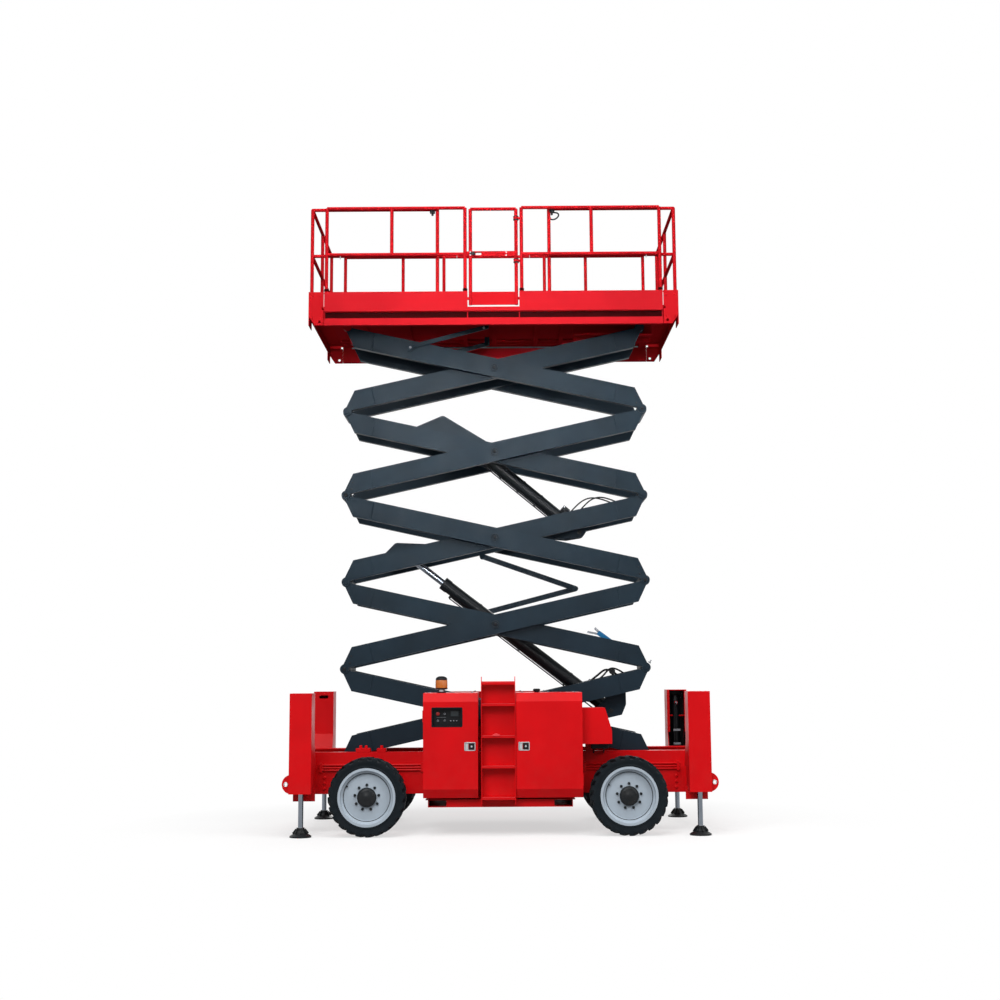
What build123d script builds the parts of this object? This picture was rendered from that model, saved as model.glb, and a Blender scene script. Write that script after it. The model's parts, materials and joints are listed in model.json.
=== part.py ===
"""Four-wheel-drive scissor lift with a raised platform, outriggers and two slide-out decks.

Millimetres. +X is forward, +Z is up, and the origin is on the ground under the middle of the chassis.
The steered wheels and the sliding ends of the scissors are at +X, the ladder side is at -Y.
"""

import os
from math import asin, cos, degrees, hypot, radians, sin, sqrt

from build123d import *

os.makedirs("parts", exist_ok=True)

# ---------------------------------------------------------------- scissor arms
arm_pin_distance = 3500.0       # from pin to pin along one arm
stage_count = 5
rest_angle = 16.13              # from level to the line through an arm's pins, in degrees
beam_height = 215.0
beam_width = 85.0
pin_beside_beam = 5.0           # an end pin's axis lies this far outside the edge of its beam
outer_beam_y = 387.5            # middle of the beams of an outer arm
plane_gap = 10.0                # between the beams of the outer and inner arms
end_cut_length = 130.0          # from the pin to the corner of the sloped beam end
lug_radius = 50.0
lug_gap = 6.0                   # round a lug, in its neighbour
tongue_width = 28.0
tongue_gap = 5.0                # each side of a tongue, in its fork
pin_radius = 22.0
running_gap = 0.3               # between a pin or rod and its bore
cross_tube_radius = 57.0
centre_pin_radius = 30.0
centre_head_radius = 48.0
centre_head_height = 12.0
base_pin_z = 780.0
upper_works_x = -45.0           # the scissors and the platform sit this far behind the chassis middle
roller_radius = 55.0
roller_width = 80.0
roller_clear = 20.0             # from a beam's side to its roller

inner_beam_y = outer_beam_y - beam_width - plane_gap
pin_offset = beam_height / 2 + pin_beside_beam
half_beam = sqrt(arm_pin_distance**2 - (2 * pin_offset) ** 2) / 2
beam_tilt = rest_angle - degrees(asin(2 * pin_offset / arm_pin_distance))
half_span = arm_pin_distance * cos(radians(rest_angle)) / 2
stage_rise = arm_pin_distance * sin(radians(rest_angle))
fork_slot = tongue_width + 2 * tongue_gap
lug_clear_radius = lug_radius + lug_gap
top_pin_z = base_pin_z + stage_count * stage_rise

# ------------------------------------------------------------- lift cylinders
lower_barrel_radius = 70.0
foot_pin_radius = 25.0
ear_thickness = 20.0
ear_radius = 58.0
ear_corner_radius = 14.0
eye_radius = 50.0
eye_side_gap = 5.0
ear_head = 10.0
neck_length = 75.0              # from an eye to where the barrel has its full radius
gusset_tube_radius = 40.0
pin_end = 6.0                   # how far a foot pin stands out of its ears
gland_length = 80.0
gland_rim = 6.0
port_radius = 14.0
seat_gap = 0.3                  # between pieces that are seated on each other
eye_width = 2 * (lower_barrel_radius + 5)

# ------------------------------------------------- folding guide of the cables
guide_bar_height = 60.0
guide_bar_thickness = 25.0
guide_pin_radius = 12.0
guide_y = 154.5                 # middle of the upper bar
guide_gap = 5.0

# ---------------------------------------------------------------- chassis
frame_past_pins = 509.0         # from the end pins of the lowest arms to the ends of the frame
frame_half_width = 560.0
rail_plate = 12.0
rail_flange = 110.0
frame_bottom_z = 405.0
track_gap = 5.0                 # over and under a roller in its track
cross_member_top_z = 640.0
cross_member_bottom_z = 470.0
cross_member_width = 120.0
end_beam_width = 150.0
end_beam_height = 220.0
end_beam_z = 590.0
fork_pocket = (190.0, 70.0)     # width and height of the openings for a fork lift's tines
fork_pocket_x = 667.0
fork_frame_z = (295.0, 375.0)
fork_frame_half_y = 1040.0

frame_half_length = half_span + frame_past_pins

# ---------------------------------------------------------------- wheels
rear_axle_x = -1407.0
front_axle_x = 1357.0
tyre_radius = 410.0
tyre_width = 300.0
tyre_outer_y = 1200.0
rim_radius = 305.0
lug_depth = 16.0
lug_count = 24
axle_z = tyre_radius

# ---------------------------------------------------------------- outriggers
outrigger_x = 2105.0
outrigger_half_width = 117.5
outrigger_outer_y = 1220.0
outrigger_depth = 290.0
outrigger_low_depth = 60.0
outrigger_bottom_z = 450.0
outrigger_top_z = 1495.0
outrigger_plate = 8.0
leg_y = 1100.0
leg_barrel_radius = 48.0
leg_rod_radius = 27.5
leg_rod_top_z = 1000.0
pad_radius = 115.0
pad_height = 100.0

# ---------------------------------------------------------------- platform
deck_over_pins = 68.0           # from the top pins up to the floor of the platform
platform_half_width = 1070.0
platform_past_pins = 196.0      # from the end pins of the highest arms to the ends of the platform
toe_board_height = 180.0
side_beam_depth = 198.0
rail_height = 1145.0
mid_rail_share = 0.535          # height of the middle rail, as a share of the top rail's
rail_tube_radius = 20.0
gate_half_width = 275.0
extension_rail_y = 977.0
extension_past_platform = 172.0
extension_inner_x = 600.0       # from the platform's middle to the inner end of an extension

platform_half_length = half_span + platform_past_pins
extension_reach = platform_half_length + extension_past_platform
deck_top_z = top_pin_z + deck_over_pins
side_beam_bottom_z = deck_top_z - side_beam_depth
toe_board_top_z = deck_top_z + toe_board_height
rail_top_z = deck_top_z + rail_height
mid_rail_z = deck_top_z + rail_height * mid_rail_share


def save(name, piece):
    """Labels a finished piece and writes it as its own STEP file."""
    piece.part.label = name
    export_step(piece.part, f"parts/{name}.step")


def mirrored_y(y):
    """The two places of what stands on both sides of the machine."""
    return (-y, y)


# ------------------------------------------------------------------ scissor arms
def pin_point(side, level):
    """Place of the end pins of a level, on the left (side -1) or on the right (side 1)."""
    return (upper_works_x + side * half_span, base_pin_z + level * stage_rise)


def arm_plane(rises_right, stage):
    """Plane through an arm's centre pin. Its x axis runs up the arm, and its y axis points upwards."""
    turn = radians(beam_tilt)
    side = 1 if rises_right else -1
    return Plane(
        origin=(upper_works_x, 0, base_pin_z + (stage - 0.5) * stage_rise),
        x_dir=(side * cos(turn), 0, sin(turn)),
        z_dir=(0, -side, 0),
    )


def arm_point(plane, x, y):
    """World X and Z of a point given along and across an arm."""
    place = plane.origin + plane.x_dir * x + plane.y_dir * y
    return place.X, place.Z


def make_arm(name, rises_right, stage, outer, brackets):
    """One arm: two beams, the tube that joins them at their lower pins, and its brackets."""
    plane = arm_plane(rises_right, stage)
    beam_y = outer_beam_y if outer else inner_beam_y
    lower_pin = (-half_beam, -pin_offset)
    upper_pin = (half_beam, pin_offset)
    rolls_below = stage == 1 and outer
    rolls_above = stage == stage_count and not outer
    with BuildPart() as arm:
        for y in mirrored_y(beam_y):
            outside = 1 if y > 0 else -1
            middle = plane.offset(-y if rises_right else y)
            along_y = 1 if rises_right else -1
            with BuildSketch(middle):
                with BuildLine():
                    Polyline(
                        (-half_beam - lug_radius * 0.75, -beam_height / 2),
                        (-half_beam + end_cut_length, beam_height / 2),
                        (half_beam + lug_radius * 0.75, beam_height / 2),
                        (half_beam - end_cut_length, -beam_height / 2),
                        close=True,
                    )
                make_face()
                with Locations(lower_pin, upper_pin):
                    Circle(lug_radius)
            extrude(amount=beam_width / 2, both=True)
            if not rolls_below:
                with BuildSketch(middle):
                    with Locations(lower_pin):
                        Circle(lug_clear_radius)
                extrude(amount=fork_slot / 2, both=True, mode=Mode.SUBTRACT)
                with BuildSketch(middle):
                    with Locations(lower_pin):
                        Circle(pin_radius)
                extrude(amount=beam_width / 2 + ear_head, both=True)
            if not rolls_above:
                for flank in (-1, 1):
                    with BuildSketch(middle.offset(flank * tongue_width / 2)):
                        with Locations(upper_pin):
                            Circle(lug_clear_radius)
                    extrude(amount=flank * beam_width, mode=Mode.SUBTRACT)
                with BuildSketch(middle):
                    with Locations(upper_pin):
                        Circle(pin_radius + running_gap)
                extrude(amount=beam_width, both=True, mode=Mode.SUBTRACT)
            if rolls_below or rolls_above:
                roller_side = outside if rolls_below else -outside
                face = Plane(origin=(0, y + roller_side * beam_width / 2, 0), z_dir=(0, roller_side, 0))
                x, z = arm_point(plane, *(lower_pin if rolls_below else upper_pin))
                with BuildSketch(face):
                    with Locations(face.to_local_coords(Vector(x, face.origin.Y, z))):
                        Circle(pin_radius)
                extrude(amount=roller_clear)
                with BuildSketch(face.offset(roller_clear)):
                    with Locations(face.to_local_coords(Vector(x, face.origin.Y, z))):
                        Circle(roller_radius)
                extrude(amount=roller_width)
            if outer:
                face = Plane(origin=(0, y + outside * beam_width / 2, 0), z_dir=(0, -outside, 0))
                centre = face.to_local_coords(Vector(upper_works_x, face.origin.Y, plane.origin.Z))
                with BuildSketch(face):
                    with Locations(centre):
                        Circle(centre_pin_radius)
                extrude(amount=2 * beam_width + plane_gap)
                with BuildSketch(face):
                    with Locations(centre):
                        Circle(centre_head_radius)
                extrude(amount=-centre_head_height)
            else:
                with BuildSketch(middle):
                    Circle(centre_pin_radius + running_gap)
                extrude(amount=beam_width, both=True, mode=Mode.SUBTRACT)
        half_tube = beam_y - beam_width / 2
        with BuildSketch(plane):
            with Locations(lower_pin):
                Circle(cross_tube_radius)
        extrude(amount=half_tube, both=True)
        if name in guide_lugs:
            (x, y), pin_end = guide_lugs[name]
            lug = arm_plane(rises_right, stage).offset(-half_tube if rises_right else half_tube)
            inwards = 1 if rises_right else -1
            with BuildSketch(lug):
                with Locations((x, y)):
                    Circle(guide_bar_height / 2)
                with Locations((x, y / 2)):
                    Rectangle(guide_bar_height, abs(y))
            extrude(amount=inwards * 15)
            with BuildSketch(lug):
                with Locations((x, y)):
                    Circle(guide_pin_radius)
            extrude(amount=inwards * (half_tube - pin_end))
        for tube, pin, bored, corners in brackets:
            with BuildSketch(plane):
                with Locations(tube):
                    Circle(gusset_tube_radius)
            extrude(amount=half_tube, both=True)
            for ear_y in mirrored_y((eye_width + ear_thickness) / 2 + eye_side_gap):
                with BuildSketch(plane.offset(ear_y)):
                    with BuildLine():
                        Line(tube, pin)
                    with Locations(tube):
                        Circle(gusset_tube_radius)
                    with Locations(pin):
                        Circle(ear_radius)
                    with Locations(*corners):
                        Circle(ear_corner_radius)
                    make_hull()
                    if bored:
                        with Locations(pin):
                            Circle(foot_pin_radius + running_gap, mode=Mode.SUBTRACT)
                extrude(amount=ear_thickness / 2, both=True)
    save(name, arm)
    return arm


# Where a lift cylinder is pinned: the tube that carries the ears, and the pin, along and across its arm.
lower_foot_tube, lower_foot_pin = (1450.0, -40.0), (1268.0, -275.0)
lower_eye_tube, lower_eye_pin = (-1225.0, -25.0), (-1110.0, 155.0)
upper_foot_tube, upper_foot_pin = (1135.0, 0.0), (962.0, -130.0)
upper_eye_tube, upper_eye_pin = (550.0, 40.0), (675.0, 270.0)

# The other corners of those ears, along and across the arm.
lower_foot_corners = [(1435.0, -235.0), (1368.0, -330.0), (1218.0, -330.0), (1118.0, -215.0)]
lower_eye_corners = [(-1290.0, 90.0), (-680.0, 85.0)]
upper_foot_corners = [(460.0, -60.0), (800.0, -165.0)]
upper_eye_corners = [(1045.0, 60.0), (25.0, 90.0)]

# Where the guide of the cables is pinned: along and across the arm, and the Y at which its pin ends.
guide_lower_y = guide_y + guide_bar_thickness + guide_gap
guide_lugs = {
    "arm_3_inner": ((-186.0, -135.0), guide_y - guide_bar_thickness / 2 - guide_gap),
    "arm_2_inner": ((125.0, 135.0), guide_lower_y + guide_bar_thickness / 2 + guide_gap),
}

# name, rises to the right, stage, outer, brackets (tube, pin, bored for the pin of a foot, corners of the ears)
arms = [
    ("arm_1_inner", True, 1, False, [(lower_foot_tube, lower_foot_pin, True, lower_foot_corners)]),
    ("arm_1_outer", False, 1, True, []),
    ("arm_2_outer", True, 2, True, []),
    ("arm_2_inner", False, 2, False, []),
    (
        "arm_3_inner",
        True,
        3,
        False,
        [
            (lower_eye_tube, lower_eye_pin, False, lower_eye_corners),
            (upper_foot_tube, upper_foot_pin, True, upper_foot_corners),
        ],
    ),
    ("arm_3_outer", False, 3, True, []),
    ("arm_4_outer", True, 4, True, []),
    ("arm_4_inner", False, 4, False, [(upper_eye_tube, upper_eye_pin, False, upper_eye_corners)]),
    ("arm_5_inner", True, 5, False, []),
    ("arm_5_outer", False, 5, True, []),
]
for name, rises_right, stage, outer, brackets in arms:
    make_arm(name, rises_right, stage, outer, brackets)


# --------------------------------------------------------------- lift cylinders
def make_cylinder(name, foot, eye, barrel_length, barrel_radius, rod_radius, rod_length, inward_stroke):
    """Barrel and rod of a lift cylinder, from its foot pin to the pin in its rod's eye."""
    length = hypot(eye[0] - foot[0], eye[1] - foot[1])
    along = Vector(eye[0] - foot[0], 0, eye[1] - foot[1]) / length
    side = Plane(origin=(foot[0], 0, foot[1]), x_dir=along, z_dir=(0, -1, 0))
    across = Plane(origin=(foot[0], 0, foot[1]), x_dir=(0, 1, 0), z_dir=along)
    with BuildPart() as barrel:
        with BuildSketch(across.offset(eye_radius * 0.6)):
            Circle(eye_radius * 0.8)
        extrude(amount=neck_length)
        with BuildSketch(across.offset(neck_length)):
            Circle(barrel_radius)
        extrude(amount=barrel_length - neck_length)
        with BuildSketch(across.offset(barrel_length - gland_length)):
            Circle(barrel_radius + gland_rim)
        extrude(amount=gland_length)
        # oil ports on the upper side, and the pipe that joins them
        pipe_y = barrel_radius + 2 * port_radius
        for port_x in (neck_length + gland_length, barrel_length - 2 * gland_length):
            with BuildSketch(Plane(origin=across.origin + along * port_x, x_dir=along, z_dir=side.y_dir)):
                Circle(port_radius)
            extrude(amount=pipe_y)
        with BuildSketch(Plane(across.origin + along * (neck_length + gland_length) + side.y_dir * pipe_y, z_dir=along)):
            Circle(port_radius / 2)
        extrude(amount=barrel_length - 3 * gland_length - neck_length)
        with BuildSketch(side):
            Circle(eye_radius)
        extrude(amount=eye_width / 2, both=True)
        with BuildSketch(side):
            Circle(foot_pin_radius)
        extrude(amount=eye_width / 2 + eye_side_gap + ear_thickness + pin_end, both=True)
        with BuildSketch(across.offset(length - rod_length - inward_stroke)):
            Circle(rod_radius + running_gap)
        extrude(amount=barrel_length, mode=Mode.SUBTRACT)
    save(f"{name}_barrel", barrel)
    with BuildPart() as rod:
        with BuildSketch(across.offset(length - rod_length)):
            Circle(rod_radius)
        extrude(amount=rod_length - eye_radius * 0.6)
        with BuildSketch(side):
            with Locations((length, 0)):
                Circle(eye_radius)
        extrude(amount=eye_width / 2, both=True)
        with BuildSketch(side):
            with Locations((length, 0)):
                Circle(foot_pin_radius)
        extrude(amount=eye_width / 2 + eye_side_gap - seat_gap, both=True)
    save(f"{name}_rod", rod)


lower_foot = arm_point(arm_plane(True, 1), *lower_foot_pin)
lower_eye = arm_point(arm_plane(True, 3), *lower_eye_pin)
upper_foot = arm_point(arm_plane(True, 3), *upper_foot_pin)
upper_eye = arm_point(arm_plane(False, 4), *upper_eye_pin)
# name, foot, eye, barrel length, barrel radius, rod radius, rod length, room for the rod to move in
cylinders = [
    ("lower_cylinder", lower_foot, lower_eye, 2390.0, lower_barrel_radius, 38.0, 2050.0, 530.0),
    ("upper_cylinder", upper_foot, upper_eye, 1600.0, 65.0, 35.0, 1250.0, 325.0),
]
for row in cylinders:
    make_cylinder(*row)


# ------------------------------------------------- folding guide of the cables
guide_top = arm_point(arm_plane(True, 3), *guide_lugs["arm_3_inner"][0])
guide_end = arm_point(arm_plane(False, 2), *guide_lugs["arm_2_inner"][0])
guide_knee = (880.0, 2660.0)
with BuildPart() as guide_upper:
    with BuildSketch(Plane.XZ.offset(-guide_y)):
        with Locations(guide_top, guide_knee):
            Circle(guide_bar_height / 2)
        with BuildLine():
            Line(guide_top, guide_knee)
        make_hull()
        with Locations(guide_top):
            Circle(guide_pin_radius + running_gap, mode=Mode.SUBTRACT)
    extrude(amount=guide_bar_thickness / 2, both=True)
    with BuildSketch(Plane.XZ.offset(-guide_y)):
        with Locations(guide_knee):
            Circle(guide_pin_radius)
    extrude(amount=-(guide_lower_y - guide_y + guide_bar_thickness / 2 + guide_gap))
save("guide_upper", guide_upper)
with BuildPart() as guide_lower:
    with BuildSketch(Plane.XZ.offset(-guide_lower_y)):
        with Locations(guide_end, guide_knee):
            Circle(guide_bar_height / 2)
        with BuildLine():
            Line(guide_end, guide_knee)
        make_hull()
        with Locations(guide_knee):
            Circle(guide_pin_radius + running_gap, mode=Mode.SUBTRACT)
    extrude(amount=guide_bar_thickness / 2, both=True)
save("guide_lower", guide_lower)


# ------------------------------------------------------------------ chassis
track_half_height = roller_radius + track_gap
with BuildPart() as chassis_frame:
    for side in (-1, 1):
        web_y = side * (frame_half_width - rail_plate / 2)
        flange_y = side * (frame_half_width - rail_flange / 2)
        track_top_z = base_pin_z + track_half_height + rail_plate / 2
        track_low_z = base_pin_z - track_half_height - rail_plate / 2
        web_top_z = track_top_z + rail_plate / 2
        with BuildSketch(Plane.YZ.offset(-frame_half_length)):
            with Locations((web_y, (web_top_z + frame_bottom_z) / 2)):
                Rectangle(rail_plate, web_top_z - frame_bottom_z)
            with Locations(
                (flange_y, track_top_z), (flange_y, track_low_z), (flange_y, frame_bottom_z + rail_plate / 2)
            ):
                Rectangle(rail_flange, rail_plate)
        extrude(amount=2 * frame_half_length)
    # cross members under the scissors
    for x in (-2050.0, -1000.0, -300.0, 400.0, 930.0, 2050.0):
        with BuildSketch(Plane.XY.offset(cross_member_bottom_z)):
            with Locations((x, 0)):
                Rectangle(cross_member_width, 2 * (frame_half_width - rail_plate))
        extrude(amount=cross_member_top_z - cross_member_bottom_z)
    # end beams that carry the outriggers
    for x in (-outrigger_x, outrigger_x):
        end_beam_y = outrigger_outer_y - outrigger_depth - seat_gap
        with BuildSketch(Plane.XZ.offset(-end_beam_y)):
            with Locations((x, end_beam_z)):
                Rectangle(end_beam_width, end_beam_height)
                Rectangle(end_beam_width - 40, end_beam_height - 40, mode=Mode.SUBTRACT)
        extrude(amount=2 * end_beam_y)
    # arches over the axles
    for x in (rear_axle_x, front_axle_x):
        with BuildSketch(Plane.XZ.offset(-2 * frame_half_width)):
            with Locations((x, frame_bottom_z)):
                RegularPolygon(190, 8, rotation=22.5)
        extrude(amount=4 * frame_half_width, mode=Mode.SUBTRACT)
    # ears for the lower pins of the first inner arm
    base_x, base_z = pin_point(-1, 0)
    for y in mirrored_y(inner_beam_y):
        with BuildSketch(Plane.XZ.offset(-y)):
            with Locations((base_x, base_z)):
                Circle(lug_radius)
            with BuildLine():
                Polyline(
                    (base_x - lug_radius, base_z),
                    (base_x - 120, cross_member_bottom_z),
                    (base_x + 120, cross_member_bottom_z),
                    (base_x + lug_radius, base_z),
                    close=True,
                )
            make_face()
            with Locations((base_x, base_z)):
                Circle(pin_radius + running_gap, mode=Mode.SUBTRACT)
        extrude(amount=tongue_width / 2, both=True)
    with BuildSketch(Plane.XY.offset(cross_member_bottom_z)):
        with Locations((base_x, 0)):
            Rectangle(2 * cross_member_width, 2 * (frame_half_width - rail_plate))
    extrude(amount=cross_member_top_z - cross_member_bottom_z)
save("chassis_frame", chassis_frame)

# pockets for a fork lift's tines, under the cabinets
with BuildPart() as fork_frame:
    fork_low_z, fork_high_z = fork_frame_z
    outer_x = fork_pocket_x + fork_pocket[0] / 2 + 32
    with Locations((0, 0, fork_high_z - 3)):
        Box(2 * outer_x, 2 * fork_frame_half_y, 6)
    for x in mirrored_y(fork_pocket_x):
        with BuildSketch(Plane.XZ.offset(-fork_frame_half_y)):
            with Locations((x, (fork_low_z + fork_high_z) / 2)):
                Rectangle(fork_pocket[0] + 12, fork_high_z - fork_low_z)
                Rectangle(fork_pocket[0], fork_pocket[1] - 2, mode=Mode.SUBTRACT)
        extrude(amount=2 * fork_frame_half_y)
    for y in mirrored_y(fork_frame_half_y - 4):
        with Locations((0, y, (fork_low_z + fork_high_z) / 2)):
            Box(2 * (fork_pocket_x - fork_pocket[0] / 2), 8, fork_high_z - fork_low_z)
    for y in mirrored_y(frame_half_width - rail_flange / 2):
        with Locations((0, y, (fork_high_z + frame_bottom_z - seat_gap) / 2)):
            Box(2 * outer_x, rail_flange - 20, frame_bottom_z - seat_gap - fork_high_z)
save("fork_frame", fork_frame)


# ------------------------------------------------------------------ axles and wheels
wheel_mid_y = tyre_outer_y - tyre_width / 2
kingpin_y = 950.0
kingpin_radius = 24.0
spindle_radius = 45.0
hub_radius = 100.0
hub_in_y = 1030.0
axle_radius = 62.0
bracket_top_z = base_pin_z - track_half_height - rail_plate - seat_gap

with BuildPart() as rear_axle:
    with BuildSketch(Plane.XZ.offset(-hub_in_y + seat_gap)):
        with Locations((rear_axle_x, axle_z)):
            Circle(axle_radius)
    extrude(amount=2 * (hub_in_y - seat_gap))
    with Locations((rear_axle_x, 0, axle_z)):
        Sphere(130)
    for y in mirrored_y(frame_half_width - rail_flange / 2):
        with Locations((rear_axle_x, y, (axle_z + bracket_top_z) / 2)):
            Box(130, 80, bracket_top_z - axle_z)
    for y in mirrored_y(hub_in_y - 20):
        with BuildSketch(Plane.XZ.offset(-y)):
            with Locations((rear_axle_x, axle_z)):
                Circle(axle_radius + 28)
        extrude(amount=19, both=True)
save("rear_axle", rear_axle)

with BuildPart() as front_axle:
    with Locations((front_axle_x, 0, axle_z - 20)):
        Box(120, 2 * (kingpin_y - 70), 90)
    for y in mirrored_y(kingpin_y - 75):
        with Locations((front_axle_x, y, axle_z)):
            Box(90, 30, 250)
    for y in mirrored_y(kingpin_y - 45):
        for dz in (-112, 112):
            with Locations((front_axle_x, y, axle_z + dz)):
                Box(90, 90, 26)
    for y in mirrored_y(kingpin_y):
        for dz in (-112, 112):
            with Locations((front_axle_x, y, axle_z + dz)):
                Cylinder(45, 26)
        with Locations((front_axle_x, y, axle_z)):
            Cylinder(kingpin_radius, 250)
    for y in mirrored_y(frame_half_width - rail_flange / 2):
        with Locations((front_axle_x, y, (axle_z + bracket_top_z) / 2)):
            Box(110, 80, bracket_top_z - axle_z)
    # the steering cylinder lies behind the axle
    with BuildSketch(Plane.XZ):
        with Locations((front_axle_x - 95, axle_z)):
            Circle(32)
    extrude(amount=260, both=True)
    with BuildSketch(Plane.XZ):
        with Locations((front_axle_x - 95, axle_z)):
            Circle(16)
    extrude(amount=420, both=True)
    for y in mirrored_y(200):
        with Locations((front_axle_x - 80, y, axle_z)):
            Box(60, 24, 70)
save("front_axle", front_axle)

for side_name, side in (("near", -1), ("far", 1)):
    with BuildPart() as knuckle:
        with Locations((front_axle_x, side * kingpin_y, axle_z)):
            Cylinder(50, 180)
            Cylinder(kingpin_radius + running_gap, 200, mode=Mode.SUBTRACT)
        with BuildSketch(Plane.XZ.offset(-side * (kingpin_y + 40))):
            with Locations((front_axle_x, axle_z)):
                Circle(spindle_radius + 20)
        extrude(amount=-side * (hub_in_y - kingpin_y - 40 - seat_gap))
    save(f"front_knuckle_{side_name}", knuckle)

for end_name, axle_x in (("rear", rear_axle_x), ("front", front_axle_x)):
    for side_name, side in (("near", -1), ("far", 1)):
        middle = (axle_x, side * wheel_mid_y, axle_z)
        wheel_plane = Plane(origin=middle, x_dir=(1, 0, 0), z_dir=(0, side, 0))
        with BuildPart() as tyre:
            with BuildSketch(wheel_plane):
                Circle(tyre_radius - lug_depth)
                Circle(rim_radius, mode=Mode.SUBTRACT)
            extrude(amount=tyre_width / 2, both=True)
            with BuildSketch(wheel_plane):
                with PolarLocations(tyre_radius - lug_depth, lug_count):
                    Rectangle(2 * lug_depth, 62)
                Circle(tyre_radius, mode=Mode.INTERSECT)
                Circle(tyre_radius - 2 * lug_depth, mode=Mode.SUBTRACT)
            extrude(amount=tyre_width / 2 - 10, both=True)
        save(f"tyre_{end_name}_{side_name}", tyre)
        with BuildPart() as rim:
            out = tyre_width / 2
            seat_r = rim_radius - seat_gap
            with BuildSketch(Plane(origin=middle, x_dir=(1, 0, 0), z_dir=(0, 0, 1))):
                with BuildLine():
                    Polyline(
                        (0, side * (out - 20)),
                        (hub_radius * 0.62, side * (out - 20)),
                        (hub_radius * 0.8, side * (out - 34)),
                        (hub_radius * 0.8, side * (out - 62)),
                        (rim_radius * 0.78, side * (out - 74)),
                        (rim_radius * 0.84, side * (out - 52)),
                        (rim_radius - 34, side * (out - 46)),
                        (rim_radius - 26, side * (out - 10)),
                        (seat_r, side * (out - 10)),
                        (seat_r, -side * (out - 12)),
                        (seat_r - 18, -side * (out - 12)),
                        (rim_radius - 48, side * (out - 60)),
                        (rim_radius * 0.8, side * (out - 88)),
                        (hub_radius, side * (out - 88)),
                        (hub_radius, side * (hub_in_y - wheel_mid_y)),
                        (0, side * (hub_in_y - wheel_mid_y)),
                        close=True,
                    )
                make_face()
            revolve(axis=Axis(middle, (0, 1, 0)))
        save(f"rim_{end_name}_{side_name}", rim)


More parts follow.
